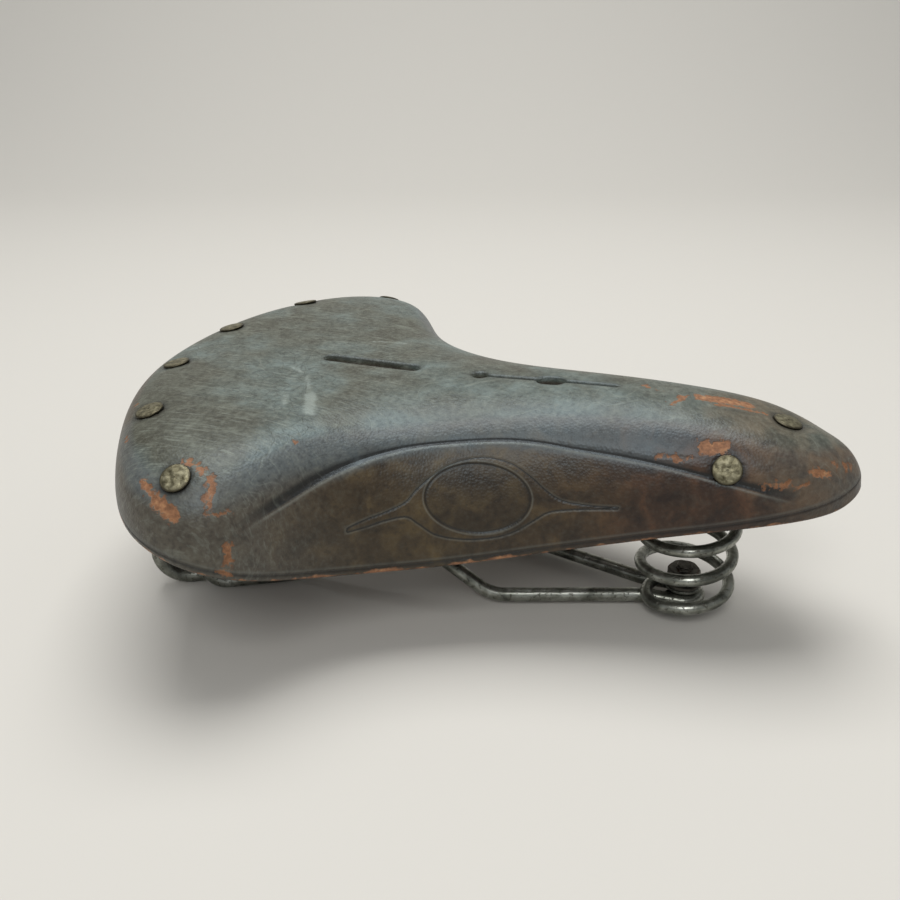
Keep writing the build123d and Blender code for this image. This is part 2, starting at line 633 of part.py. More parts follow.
top_washer_foot = BASE_FOOT - EYE_THICKNESS - WASHER_THICKNESS
top_nut_foot = top_washer_foot - NUT_HEIGHT
top_bolt_length = BASE_TOP - top_nut_foot + BOLT_TIP
top_shank = Cylinder(BOLT_RADIUS, top_bolt_length, align=HANGING)
top_head = hexagon(Plane.XY, NUT_FLATS, TOP_BOLT_HEAD_HEIGHT)
save(floor_plane.offset(BASE_TOP) * (top_head + top_shank), "coil_top_bolt")
save(washer(floor_plane.offset(top_washer_foot)), "coil_top_washer")
save(hexagon(floor_plane.offset(top_nut_foot), NUT_FLATS, NUT_HEIGHT, BOLT_RADIUS + FIT), "coil_top_nut")

tension_plane = Plane(origin=(0, 0, TENSION_HEIGHT), x_dir=(0, 1, 0), z_dir=(1, 0, 0))
head_x = thrust_x - TENSION_HEAD_HEIGHT
tail_x = BOLT_X - BRACKET_LENGTH / 2 - TENSION_TAIL
tension_shank = tension_plane.offset(tail_x) * Cylinder(BOLT_RADIUS, head_x - tail_x, align=STANDING)
tension_head = hexagon(tension_plane.offset(head_x), NUT_FLATS, TENSION_HEAD_HEIGHT)
save(tension_head + tension_shank, "tension_bolt")
nut_x = BOLT_X + BRACKET_LENGTH / 2 + FIT
save(hexagon(tension_plane.offset(nut_x), NUT_FLATS, NUT_HEIGHT, BOLT_RADIUS + FIT), "tension_nut")

node_count = len(os.listdir("parts"))
print(f"saddle {LEATHER_LENGTH:.0f} mm long and {LEATHER_WIDTH:.0f} mm wide, {node_count} nodes")
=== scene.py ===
# %% [markdown]
# # A sprung leather bicycle saddle
# One thick sheet of leather is stretched between a steel plate at the back and a bolt at the nose, and
# sits on springs made of bent wire. This lesson dresses the exact CAD frame: the leather, the wires and
# the rivets get detailed surfaces, and every piece gets the finish of a saddle ridden for many years.

# %% Load the frame
import bpy
import numpy as np
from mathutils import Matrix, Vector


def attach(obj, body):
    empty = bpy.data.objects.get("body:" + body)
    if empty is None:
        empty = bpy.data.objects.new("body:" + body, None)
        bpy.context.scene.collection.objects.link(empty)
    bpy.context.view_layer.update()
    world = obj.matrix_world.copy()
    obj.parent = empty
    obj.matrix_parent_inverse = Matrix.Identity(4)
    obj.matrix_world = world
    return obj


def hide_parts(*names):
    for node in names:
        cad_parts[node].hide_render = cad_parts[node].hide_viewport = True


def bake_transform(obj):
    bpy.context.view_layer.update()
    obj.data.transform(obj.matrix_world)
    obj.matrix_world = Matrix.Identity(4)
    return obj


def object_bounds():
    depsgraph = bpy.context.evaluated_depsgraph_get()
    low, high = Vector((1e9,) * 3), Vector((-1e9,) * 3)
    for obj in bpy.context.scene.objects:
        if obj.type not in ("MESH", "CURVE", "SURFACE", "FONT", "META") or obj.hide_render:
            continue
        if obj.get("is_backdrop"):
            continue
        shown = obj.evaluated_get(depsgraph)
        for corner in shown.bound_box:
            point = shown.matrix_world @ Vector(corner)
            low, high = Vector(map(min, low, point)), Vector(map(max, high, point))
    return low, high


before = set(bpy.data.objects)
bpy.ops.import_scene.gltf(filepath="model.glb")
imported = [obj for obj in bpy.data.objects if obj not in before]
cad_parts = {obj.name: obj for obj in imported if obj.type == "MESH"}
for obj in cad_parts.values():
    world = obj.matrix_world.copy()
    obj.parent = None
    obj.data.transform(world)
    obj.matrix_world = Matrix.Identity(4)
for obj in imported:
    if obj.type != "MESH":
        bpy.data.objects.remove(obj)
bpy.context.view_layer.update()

MM = 0.001

# %% [markdown]
# Colours are written as sRGB hex values, as a paint chart gives them. Blender's shaders want linear light,
# so one function turns them. Another adds a node with its settings, values and links in one line, which
# keeps each material readable from top to bottom.


# %% Colour and node helpers
def linear(code):
    """Linear RGBA from a hex colour: a channel c above 0.04045 becomes ((c + 0.055) / 1.055) ** 2.4."""
    channels = np.array([int(code[i:i + 2], 16) / 255 for i in (1, 3, 5)])
    curved = ((channels + 0.055) / 1.055) ** 2.4
    return (*np.where(channels > 0.04045, curved, channels / 12.92), 1.0)


def node(tree, kind, inputs=(), out=0, stops=(), **settings):
    """Adds a shader node and returns one of its outputs. Inputs come in the order of the sockets, or as a
    dict of sockets: a socket among them is linked, a hex colour turned to linear, and any other value set.
    A colour ramp takes its stops as (place, colour) pairs."""
    made = tree.nodes.new("ShaderNode" + kind)
    for name, value in settings.items():
        setattr(made, name, value)
    for key, value in (inputs.items() if isinstance(inputs, dict) else enumerate(inputs)):
        if isinstance(value, bpy.types.NodeSocket):
            tree.links.new(value, made.inputs[key])
        else:
            made.inputs[key].default_value = linear(value) if isinstance(value, str) else value
    while stops and len(made.color_ramp.elements) < len(stops):
        made.color_ramp.elements.new(1.0)
    for element, (position, colour) in zip(made.color_ramp.elements if stops else [], stops):
        element.position = position
        element.color = linear(colour) if isinstance(colour, str) else (colour, colour, colour, 1.0)
    return made.outputs[out]


# Settings that many nodes share: a smooth mask between two values, a product, a product plus a rest, and
# one colour laid over another
MASK = {"interpolation_type": "SMOOTHSTEP"}
TIMES = {"operation": "MULTIPLY"}
PLUS = {"operation": "MULTIPLY_ADD"}
COVER = {"data_type": "RGBA", "out": 2}


def new_material(name, **constants):
    """A material with one Principled shader, whose constants are set on its own sockets."""
    material = bpy.data.materials.new(name)
    material.use_nodes = True
    shader = material.node_tree.nodes["Principled BSDF"]
    for key, value in constants.items():
        constant = linear(value) if isinstance(value, str) else value
        shader.inputs[key.replace("_", " ")].default_value = constant
    return material, material.node_tree, shader


def connect(tree, shader, colour, roughness, height):
    """Links a finish to its shader. The height is in millimetres, and reaches the normal as a bump."""
    bump = node(tree, "Bump", {"Strength": 1.0, "Distance": MM, "Height": height})
    for key, value in (("Base Color", colour), ("Roughness", roughness), ("Normal", bump)):
        tree.links.new(value, shader.inputs[key])


print("linear mid grey:", round(linear("#808080")[0], 3))

# %% [markdown]
# Surfaces come from numpy as whole arrays: a grid of points with rows and columns, turned into quads.
# foreach_set hands the arrays to Blender in one go.


# %% Mesh helpers
def grid_quads(ids, closed=False):
    """Quads over a grid of vertex numbers; closed joins the last column to the first."""
    if closed:
        ids = np.concatenate([ids, ids[:, :1]], axis=1)
    corners = [ids[:-1, :-1], ids[:-1, 1:], ids[1:, 1:], ids[1:, :-1]]
    return np.stack(corners, axis=-1).reshape(-1, 4)


def new_piece(name, points, quads, material, attributes=None, tris=None):
    """A smooth mesh object at the origin from points in millimetres, quads and triangles, with named
    attributes on its points."""
    tris = np.zeros((0, 3), int) if tris is None else tris
    used, compact = np.unique(np.concatenate([quads.ravel(), tris.ravel()]), return_inverse=True)
    starts = np.concatenate([np.arange(len(quads)) * 4, quads.size + np.arange(len(tris)) * 3])
    mesh = bpy.data.meshes.new(name)
    mesh.vertices.add(len(used))
    mesh.vertices.foreach_set("co", (points[used] * MM).astype(np.float32).ravel())
    mesh.loops.add(compact.size)
    mesh.loops.foreach_set("vertex_index", compact.astype(np.int32).ravel())
    mesh.polygons.add(len(starts))
    mesh.polygons.foreach_set("loop_start", starts.astype(np.int32))
    mesh.update(calc_edges=True)
    mesh.validate()
    mesh.polygons.foreach_set("use_smooth", np.ones(len(mesh.polygons), dtype=bool))
    for key, values in (attributes or {}).items():
        layer = mesh.attributes.new(key, "FLOAT", "POINT")
        layer.data.foreach_set("value", values[used].astype(np.float32))
    mesh.materials.append(material)
    piece = bpy.data.objects.new(name, mesh)
    bpy.context.scene.collection.objects.link(piece)
    return piece


def closed_rings(rings):
    """A tube's points, quads and triangles from rings of points; a fan closes each end at its middle."""
    count, segments = rings.shape[:2]
    points = np.concatenate([rings.reshape(-1, 3), [rings[0].mean(0)], [rings[-1].mean(0)]])
    ids = np.arange(count * segments).reshape(count, segments)
    first, last = ids[0], ids[-1]
    start_fan = np.stack([np.full(segments, count * segments), np.roll(first, -1), first], -1)
    end_fan = np.stack([np.full(segments, count * segments + 1), last, np.roll(last, -1)], -1)
    return points, grid_quads(ids, closed=True)[:, ::-1], np.concatenate([start_fan, end_fan])


def joined(bodies):
    """Several closed bodies as one set of points, quads and triangles."""
    shifts = np.cumsum([0] + [len(points) for points, _, _ in bodies[:-1]])
    points = np.concatenate([points for points, _, _ in bodies])
    quads = np.concatenate([quads + shift for (_, quads, _), shift in zip(bodies, shifts)])
    tris = np.concatenate([tris + shift for (_, _, tris), shift in zip(bodies, shifts)])
    return points, quads, tris


def smooth_step(x, low, high):
    """0 below low, 1 above high and 3 s^2 - 2 s^3 between them."""
    s = np.clip((x - low) / (high - low), 0, 1)
    return s * s * (3 - 2 * s)


def smooth_curve(points, count):
    """Points spaced along a Catmull-Rom curve, which passes through each given point in turn."""
    p = np.asarray(points, float)
    p = np.concatenate([2 * p[:1] - p[1:2], p, 2 * p[-1:] - p[-2:-1]])
    s = np.linspace(0, len(p) - 3 - 1e-9, count)
    i = s.astype(int)
    f = (s - i)[:, None]
    a, b, c, d = (p[i + k] for k in range(4))
    square, cube = 2 * a - 5 * b + 4 * c - d, 3 * b - a - 3 * c + d
    return 0.5 * (2 * b + (c - a) * f + square * f ** 2 + cube * f ** 3)


print("helpers ready")

# %% [markdown]
# ## The shape of the leather
# A saddle top is wetted and pressed over a form, so it has no flat faces. Twelve rows describe half of its
# outline, from the middle of the rear edge round one flank to the tip of the nose. A cubic B-spline blends
# four neighbouring rows at a time, and each row carries one section curve, from the ridge on the middle
# line, over the shoulder and down to the lower edge. The numbers are the same as in the CAD source.

# %% The outline and the ridge
HALF_LENGTH, HALF_WIDTH, SEAT_HEIGHT, LEATHER_WALL = 127.0, 101.0, 80.0, 5.0
# along, across, depth of the edge, rise of the shoulder, inset of the shoulder, start on the ridge
OUTLINE = np.array([
    (-1.022, 0.000, 16.5, 19.0, 5.0, -0.604),
    (-0.950, 0.366, 15.5, 24.0, 4.5, -0.581),
    (-0.836, 0.665, 18.0, 29.5, 4.0, -0.556),
    (-0.683, 0.979, 25.0, 37.5, 2.5, -0.490),
    (-0.400, 1.045, 30.5, 44.0, 5.5, -0.397),
    (-0.292, 0.693, 47.0, 47.5, 7.0, -0.259),
    (-0.003, 0.505, 48.0, 43.0, 9.5, -0.052),
    (0.230, 0.403, 43.5, 38.0, 7.0, 0.192),
    (0.544, 0.321, 35.0, 30.5, 5.0, 0.503),
    (0.809, 0.285, 27.5, 29.5, 3.0, 0.719),
    (0.969, 0.126, 28.0, 15.0, 4.0, 0.854),
    (1.014, 0.000, 21.5, 5.0, 0.5, 0.865),
])
LAST_ROW = len(OUTLINE) - 1
RIDGE_DROPS = np.array([-1.0, -0.5, 0.0, 0.5, -2.0, -0.5, 12.5, 10.0])
RIDGE_FIRST, RIDGE_STEP = -0.989, 0.3307
SHOULDER_PULL, SKIRT_PULL = 0.777, 0.805


def spline_weights(f):
    """The four weights of a uniform cubic B-spline at share f of the middle step."""
    second, third = 3 * f ** 3 - 6 * f ** 2 + 4, -3 * f ** 3 + 3 * f ** 2 + 3 * f + 1
    return np.stack([(1 - f) ** 3, second, third, f ** 3], -1) / 6


def outline_at(t):
    """The outline's six values at row t. Past either end the rows come back mirrored across the middle."""
    mirrored = OUTLINE * np.array([1, -1, 1, 1, 1, 1])
    rows = np.concatenate([mirrored[1:2], OUTLINE, mirrored[-2:-1]])
    first = np.minimum(t.astype(int), LAST_ROW - 1)
    weights = spline_weights(t - first)
    return sum(weights[..., k, None] * rows[first + k] for k in range(4))


def ridge_at(x):
    """Height of the ridge line at x, and its slope by the spline's derivative."""
    u = (x / HALF_LENGTH - RIDGE_FIRST) / RIDGE_STEP
    first = np.clip(np.floor(u).astype(int), 1, len(RIDGE_DROPS) - 3)
    f = u - first
    drops = RIDGE_DROPS[first[..., None] + np.arange(-1, 3)]
    slopes = np.stack([-(1 - f) ** 2, 3 * f ** 2 - 4 * f, -3 * f ** 2 + 2 * f + 1, f ** 2], -1) / 2
    slope = -(slopes * drops).sum(-1) / (RIDGE_STEP * HALF_LENGTH)
    return SEAT_HEIGHT - (spline_weights(f) * drops).sum(-1), slope


def section_points(t, depth=0.0):
    """The four Bezier points of the section at row t: ridge, shoulder side, skirt side and lower edge."""
    row = outline_at(t)
    ridge_x = row[..., 5] * HALF_LENGTH
    ridge_z, slope = ridge_at(ridge_x)
    ridge = np.stack([ridge_x, 0 * ridge_x, ridge_z - depth], -1)
    edge = np.stack([row[..., 0] * HALF_LENGTH, -row[..., 1] * HALF_WIDTH, SEAT_HEIGHT - row[..., 2]], -1)
    out = (edge - ridge) * np.array([1, 1, 0])
    out /= np.linalg.norm(out, axis=-1, keepdims=True)
    up = np.array([0, 0, 1])
    shoulder = edge - out * (row[..., 4:5] + depth) + up * (row[..., 3:4] - depth)
    edge = edge - out * depth
    upper = ridge + (shoulder - ridge) * SHOULDER_PULL
    upper[..., 2] = ridge[..., 2] + slope * (upper[..., 0] - ridge[..., 0])
    lower = edge + (shoulder - edge) * SKIRT_PULL
    return ridge, upper, lower, edge


def leather_at(t, v, depth=0.0):
    """A point on the right flank: the cubic Bezier (1-v)^3 A + 3v(1-v)^2 B + 3v^2(1-v) C + v^3 D."""
    a, b, c, d = section_points(np.asarray(t, float), depth)
    v = np.asarray(v, float)[..., None]
    return a * (1 - v) ** 3 + b * 3 * v * (1 - v) ** 2 + c * 3 * v * v * (1 - v) + d * v ** 3


def leather_normal(t, v):
    """The unit normal that points out of the leather, from the cross product of the two tangents."""
    t, v, step = np.asarray(t, float), np.asarray(v, float), 0.01
    ahead = leather_at(np.minimum(t + step, LAST_ROW), v) - leather_at(np.maximum(t - step, 0), v)
    down = leather_at(t, v + step) - leather_at(t, v - step)
    normal = np.cross(down, ahead)
    return normal / np.linalg.norm(normal, axis=-1, keepdims=True)


print("shoulder of the right flank in mm:", leather_at(4.0, 0.6).round(1), leather_normal(4.0, 0.6).round(2))

# %% [markdown]
# The leather is one closed shell: outer face, rounded cut edge and inner face. Its columns run round the
# outline and its rows down the sections. The two flanks share the vertices of the ridge line, except
# where a slot is cut: there the first row starts half a slot's width out, and a wall joins the outer face
# to the inner one. So the slots are part of the grid, and no boolean is needed.

# %% The slots
# Each slot: centre, overall length and width, in millimetres along the middle line
REAR_SLOT = (-42.0, 36.0, 5.0)
ROUND_HOLE = (-2.0, 5.2, 5.2)
OVAL_HOLE = (23.0, 9.5, 6.5)
SLIT = (22.0, 48.0, 1.2)
SLOTS = (REAR_SLOT, ROUND_HOLE, OVAL_HOLE, SLIT)
print("cuts on the middle line:", len(SLOTS), "the longest in mm:", max(length for _, length, _ in SLOTS))


def slot_half_width(x):
    """Half the open width at x: the widest of the slots, each with round ends."""
    widths = []
    for centre, length, width in SLOTS:
        r = width / 2
        past = np.maximum(np.abs(x - centre) - (length / 2 - r), 0)
        widths.append(np.sqrt(np.maximum(r * r - past * past, 0)))
    return np.max(widths, axis=0)


def slot_distance(x, y):
    """Distance to the nearest slot's rim: to its middle segment, less half its width."""
    distances = []
    for centre, length, width in SLOTS:
        past = np.maximum(np.abs(x - centre) - (length - width) / 2, 0)
        distances.append(np.hypot(past, y) - width / 2)
    return np.min(distances, axis=0)


# %% The grid of the leather
COLUMNS_PER_ROW = 30
OUTER_ROWS, INNER_ROWS = 118, 14
t_half = np.linspace(0, LAST_ROW, LAST_ROW * COLUMNS_PER_ROW + 1)
t_ring = np.concatenate([t_half, t_half[-2:0:-1]])
side_ring = np.concatenate([-np.ones(len(t_half)), np.ones(len(t_half) - 2)])
ring_count = len(t_ring)
partner = (-np.arange(ring_count)) % ring_count


def flank_rows(rows, depth):
    """A grid of points on the Bezier sections: row 0 lies on the ridge or on a slot's rim, and the last on
    the edge."""
    ridge, upper, lower, edge = section_points(t_ring, depth)
    reach = 3 * np.abs(upper[:, 1]) + 1e-6
    start = slot_half_width(ridge[:, 0]) / np.maximum(reach, 1.0)
    lip = np.array([0.0, 0.35, 0.9])[:, None] / np.maximum(np.linalg.norm(upper - ridge, axis=-1) * 3, 1.0)
    spread = np.linspace(0, 1, rows - 2)[1:, None]
    v = np.concatenate([start + lip, (start + lip[2]) + (1 - start - lip[2]) * spread])
    v = np.minimum(v, 1.0)[..., None]
    points = ridge * (1 - v) ** 3 + upper * 3 * v * (1 - v) ** 2 + lower * 3 * v * v * (1 - v) + edge * v ** 3
    points[..., 1] *= -side_ring
    return points


outer, inner = flank_rows(OUTER_ROWS, 0.0), flank_rows(INNER_ROWS, LEATHER_WALL)
open_columns = int((slot_half_width(outer[0, :, 0]) > 0).sum())
print("outer face:", outer.shape[:2], "points, slots open at", open_columns, "columns")


# %% Normals of the outer face
def grid_normals(points):
    """Unit normals of a ring grid: the cross product of the steps round the ring and down the rows."""
    around = np.roll(points, -1, axis=1) - np.roll(points, 1, axis=1)
    down = np.gradient(points, axis=0)
    normals = np.cross(down, around)
    length = np.linalg.norm(normals, axis=-1, keepdims=True)
    normals = normals / np.maximum(length, 1e-9)
    away = (normals * (points - np.array([0, 0, 40.0]))).sum(-1, keepdims=True)
    return normals * np.where(away < 0, -1, 1)


outer_normals = grid_normals(outer)
outer_normals[0] = outer_normals[1]
outer_normals[0] = (outer_normals[0] + outer_normals[0][partner]) / 2
outer_normals[0, :, 1] = 0
print("normals that point up:", int((outer_normals[..., 2] > 0).sum()), "of", OUTER_ROWS * ring_count)

# %% [markdown]
# ## What is pressed into the leather
# The form leaves marks in the leather: a long crease under each shoulder, a bare oval with a raised
# border that runs out in two tails, and a bevelled edge. Each mark is stored as a distance in
# millimetres on every vertex. Distances change smoothly between vertices, so the shader can draw a
# line much finer than the mesh from them.


# %% Distances on the leather
def distance_to_curve(points, normals, curve):
    """Signed distance to a curve on the surface, positive above it, and the nearest point's share of the
    curve: the offset from that point, without its part along the tangent."""
    tangents = np.gradient(curve, axis=0)
    tangents /= np.linalg.norm(tangents, axis=1, keepdims=True)
    flat, flat_normals = points.reshape(-1, 3), normals.reshape(-1, 3)
    squared = (flat ** 2).sum(1)[:, None] + (curve ** 2).sum(1)[None] - 2 * flat @ curve.T
    nearest = squared.argmin(1)
    offset = flat - curve[nearest]
    offset = offset - tangents[nearest] * (offset * tangents[nearest]).sum(1, keepdims=True)
    up = np.cross(flat_normals, tangents[nearest])
    sign = np.where((offset * up).sum(1) < 0, -1, 1)
    size = np.sqrt(np.maximum(squared[np.arange(len(flat)), nearest], 0))
    across = np.linalg.norm(offset, axis=1)
    ends = (nearest == 0) | (nearest == len(curve) - 1)
    distance = np.where(ends, size, across) * sign
    return distance.reshape(points.shape[:2]), (nearest / (len(curve) - 1)).reshape(points.shape[:2])


# The crease as (row, share down the section), from the rear skirt over the oval to the nose.
CREASE = np.array([
    (4.20, 0.860), (4.43, 0.795), (4.67, 0.733), (4.92, 0.662), (5.17, 0.603), (5.42, 0.555),
    (5.72, 0.518), (6.10, 0.499), (6.55, 0.491), (6.90, 0.508), (7.20, 0.543), (7.60, 0.590),
    (8.02, 0.656), (8.50, 0.752), (8.90, 0.829), (9.30, 0.893),
])
crease_rows = smooth_curve(CREASE, 240)
crease_line = leather_at(crease_rows[:, 0], crease_rows[:, 1])
# Both flanks are measured as if they were the right one
near_side, near_normals = outer.copy(), outer_normals.copy()
near_side[..., 1] = -np.abs(outer[..., 1])
near_normals[..., 1] = -np.abs(outer_normals[..., 1])
crease_mm, crease_along = distance_to_curve(near_side, near_normals, crease_line)
crease_fade = smooth_step(crease_along, 0.0, 0.12) * smooth_step(1 - crease_along, 0.0, 0.07)
crease_rear = 1 - smooth_step(crease_along, 0.15, 0.45)
crease_width = 1.0 + 1.4 * crease_rear + 1.2 * smooth_step(crease_along, 0.8, 0.98)
crease_mm = np.where(crease_mm > 0, crease_mm / crease_width, crease_mm)
crease_length = np.linalg.norm(np.diff(crease_line, axis=0), axis=1).sum()
print("crease length in mm:", round(float(crease_length), 1))

# %% The oval and its border
OVAL_CENTRE = np.array([9.5, -43.0, 54.6])
OVAL_ALONG = np.array([0.943, 0.330, 0.029])
OVAL_UP = np.array([-0.106, 0.374, 0.921])
OVAL_HALF_LENGTH, OVAL_HALF_HEIGHT = 17.0, 11.5
# The border's upper and lower lines, as height over the oval's middle at distances along it
BORDER_ALONG = np.array([
    -41.5, -35.5, -29, -23, -19.5, -15, -12, -9, -5, -1,
    3, 7, 10, 13, 18, 22, 27, 35, 44])
BORDER_UPPER = np.array([
    -9.1, -6.5, -4.2, -1.3, 2.5, 6.4, 8.3, 10.2, 11.7, 12.6,
    12.9, 12.4, 11.5, 10.1, 6.2, 2.4, -0.6, -1.9, -2.3])
BORDER_LOWER = np.array([
    -10.2, -8.7, -6.7, -5.8, -7.9, -11.2, -12.3, -12.9, -13.3, -13.3,
    -12.9, -12.2, -11.2, -9.8, -6.7, -4.3, -3.4, -2.9, -2.7])
FAR_OVAL = 30.0
offset = near_side - OVAL_CENTRE
along_oval, up_oval = offset @ OVAL_ALONG, offset @ OVAL_UP
scaled = np.sqrt((along_oval / OVAL_HALF_LENGTH) ** 2 + (up_oval / OVAL_HALF_HEIGHT) ** 2)
steepness = np.hypot(along_oval / OVAL_HALF_LENGTH ** 2, up_oval / OVAL_HALF_HEIGHT ** 2)
oval_mm = scaled * (scaled - 1) / np.maximum(steepness, 1e-3)
upper_curve = smooth_curve(np.stack([BORDER_ALONG, BORDER_UPPER], 1), 400)
lower_curve = smooth_curve(np.stack([BORDER_ALONG, BORDER_LOWER], 1), 400)


def height_over(curve):
    """Distance over a border line: the height over it, times the cosine of the line's slope there."""
    slope = np.gradient(curve[:, 1]) / np.gradient(curve[:, 0])
    cosine = 1 / np.sqrt(1 + slope ** 2)
    height = up_oval - np.interp(along_oval, curve[:, 0], curve[:, 1])
    return height * np.interp(along_oval, curve[:, 0], cosine)


past_tips = np.maximum(along_oval - BORDER_ALONG[-1], BORDER_ALONG[0] - along_oval)
border_mm = np.maximum(np.maximum(height_over(upper_curve), -height_over(lower_curve)), past_tips)
far_from_oval = (np.abs(along_oval) > 60) | (np.abs(up_oval) > 30) | (near_normals[..., 1] > -0.2)
oval_mm = np.where(far_from_oval, FAR_OVAL, np.clip(oval_mm, -FAR_OVAL, FAR_OVAL))
border_mm = np.where(far_from_oval, FAR_OVAL, np.clip(border_mm, -FAR_OVAL, FAR_OVAL))
print("points inside the oval:", int((oval_mm < 0).sum()))

# %% The bevel above the edge, the rivets' seats and the scuffs
steps = np.linalg.norm(np.diff(outer, axis=0), axis=-1)
rim_mm = np.concatenate([np.cumsum(steps[::-1], axis=0)[::-1], np.zeros((1, ring_count))])
BEVEL_WIDTH, BEVEL_WIDER_AT_NOSE = 1.6, 2.6
bevel_width = BEVEL_WIDTH + BEVEL_WIDER_AT_NOSE * smooth_step(t_ring, 8.2, 10.2)
bevel_mm = rim_mm - bevel_width
REAR_RIVETS = [(0.78, 0.482), (2.21, 0.552), (3.47, 0.672)]
NOSE_SIDE_RIVET = (8.50, 0.660)
NOSE_TOP_RIVET_X = 0.796 * HALF_LENGTH
BOTH_SIDES = (np.array([1, 1, 1]), np.array([1, -1, 1]))
top_height, top_slope = ridge_at(np.array(NOSE_TOP_RIVET_X))
top_rivet = np.array([NOSE_TOP_RIVET_X, 0, float(top_height)])
top_rivet_normal = np.array([-float(top_slope), 0, 1]) / np.hypot(float(top_slope), 1)
rear_seats = [(leather_at(*r) * m, leather_normal(*r) * m) for m in BOTH_SIDES for r in REAR_RIVETS]
nose_seats = [(leather_at(*NOSE_SIDE_RIVET) * m, leather_normal(*NOSE_SIDE_RIVET) * m) for m in BOTH_SIDES]
nose_seats.append((top_rivet, top_rivet_normal))
RIVET_RADIUS = 4.7
seat_points = np.array([p for p, n in rear_seats + nose_seats])
rivet_mm = np.linalg.norm(outer[..., None, :] - seat_points, axis=-1).min(-1) - RIVET_RADIUS

# Scuffs: start and end of each torn streak as (row, share down), and its half width in millimetres.
SCUFFS_RIGHT = [
    ((3.14, 0.745), (3.31, 0.787), 1.2), ((3.36, 0.795), (3.58, 0.823), 2.2),
    ((3.48, 0.583), (3.62, 0.595), 1.0), ((3.62, 0.595), (3.71, 0.615), 1.0),
    ((3.80, 0.640), (3.86, 0.662), 0.9), ((3.86, 0.662), (3.89, 0.753), 0.9),
    ((3.90, 0.792), (4.13, 0.770), 0.2), ((4.14, 0.900), (4.16, 0.945), 1.2),
    ((4.10, 0.975), (4.14, 0.985), 1.2), ((4.44, 0.443), (4.47, 0.450), 0.4),
    ((1.77, 0.640), (1.77, 0.660), 0.7), ((2.36, 0.723), (2.42, 0.723), 0.7),
    ((8.29, 0.497), (8.46, 0.486), 2.2), ((7.90, 0.573), (8.19, 0.583), 0.6),
    ((8.05, 0.600), (8.12, 0.596), 0.6), ((9.48, 0.645), (9.74, 0.657), 1.3),
    ((8.84, 0.768), (9.14, 0.752), 0.8), ((9.22, 0.777), (9.38, 0.753), 0.5),
    ((9.94, 0.500), (9.98, 0.570), 0.6), ((10.24, 0.540), (10.26, 0.600), 0.6),
    ((10.4, 0.62), (10.5, 0.60), 0.4),
]
SCUFFS_LEFT = [
    ((3.50, 0.700), (3.60, 0.780), 1.4), ((4.20, 0.880), (4.24, 0.940), 1.1),
    ((8.40, 0.520), (8.70, 0.500), 1.3), ((9.60, 0.640), (9.80, 0.660), 0.9),
    ((5.60, 0.970), (5.90, 0.980), 0.8),
]
# The same on the top, with (x, y) in millimetres for each end, and the pale marks there
RIDGE_SCUFFS = [
    ((64.3, -8.4), (68.0, -2.0), 0.9), ((73.0, 0.5), (88.0, 3.5), 2.6),
    ((54.5, 1.7), (61.0, 0.0), 0.5), ((78.0, -3.0), (94.0, 1.0), 0.7),
]
PALE_MARKS = [
    ((-57.5, -21.0), (-49.0, -37.0), 0.2), ((-50.0, -35.5), (-45.5, -46.0), 1.5),
    ((-65.5, -14.0), (-61.0, -18.0), 0.3), ((-58.0, -38.0), (-55.0, -44.0), 0.3),
    ((-49.0, 20.4), (-37.0, 23.0), 0.1),
]


def streak_distance(start, end, half_width):
    """Distance to a streak: to the segment from start to end, less the half width."""
    line = end - start
    share = np.clip(((outer - start) @ line) / max(line @ line, 1e-9), 0, 1)
    return np.linalg.norm(outer - (start + share[..., None] * line), axis=-1) - half_width


def top_point(x, y):
    """The point of the outer face above (x, y): of the grid's vertices on the top, the nearest in plan."""
    plan = (outer[..., 0] - x) ** 2 + (outer[..., 1] - y) ** 2 + 1e3 * (outer_normals[..., 2] < 0.3)
    return outer[np.unravel_index(plan.argmin(), plan.shape)]


left = BOTH_SIDES[1]
streaks = [streak_distance(leather_at(*a), leather_at(*b), w) for a, b, w in SCUFFS_RIGHT]
streaks += [streak_distance(leather_at(*a) * left, leather_at(*b) * left, w) for a, b, w in SCUFFS_LEFT]
streaks += [streak_distance(top_point(*a), top_point(*b), w) for a, b, w in RIDGE_SCUFFS]
scuff_mm = np.min(streaks, axis=0)
pale_mm = np.min([streak_distance(top_point(*a), top_point(*b), w) for a, b, w in PALE_MARKS], axis=0)
slot_mm = slot_distance(outer[..., 0], outer[..., 1]) + 1e3 * (outer_normals[..., 2] < 0.3)
print("rivet seats:", len(seat_points), " scuffs:", len(streaks))

# %% The relief of the outer face
def bell(x, centre, width):
    """exp(-((x - centre) / width)^2)"""
    return np.exp(-((x - centre) / width) ** 2)


# Depths and heights in millimetres. All of it lies a little under the form's own surface.
CREASE_DEPTH, CREASE_DEEPER_BEHIND, CREASE_LIP, BORDER_RISE, OVAL_DEPTH = 0.35, 0.35, 0.08, 0.08, 0.22
BEVEL_DEPTH, BEVEL_DEEPER_AHEAD, RIVET_DIMPLE, RIVET_BED, SCUFF_DEPTH = 0.15, 0.25, 0.15, 0.30, 0.15
SLOT_ROUND, SLOT_SAG, UNDER_SURFACE = 0.7, 0.35, 0.15
relief = -(CREASE_DEPTH + CREASE_DEEPER_BEHIND * crease_rear) * crease_fade * bell(crease_mm, 0.9, 1.1)
relief += CREASE_LIP * crease_fade * (1 - smooth_step(crease_along, 0.6, 0.85)) * bell(crease_mm, -1.8, 1.6)
relief += BORDER_RISE * smooth_step(-border_mm, -0.4, 0.6) * smooth_step(oval_mm, -0.4, 0.6)
relief -= OVAL_DEPTH * smooth_step(-oval_mm, -0.4, 0.6)
bevel_depth = BEVEL_DEPTH + BEVEL_DEEPER_AHEAD * smooth_step(t_ring, 6.0, 8.5)
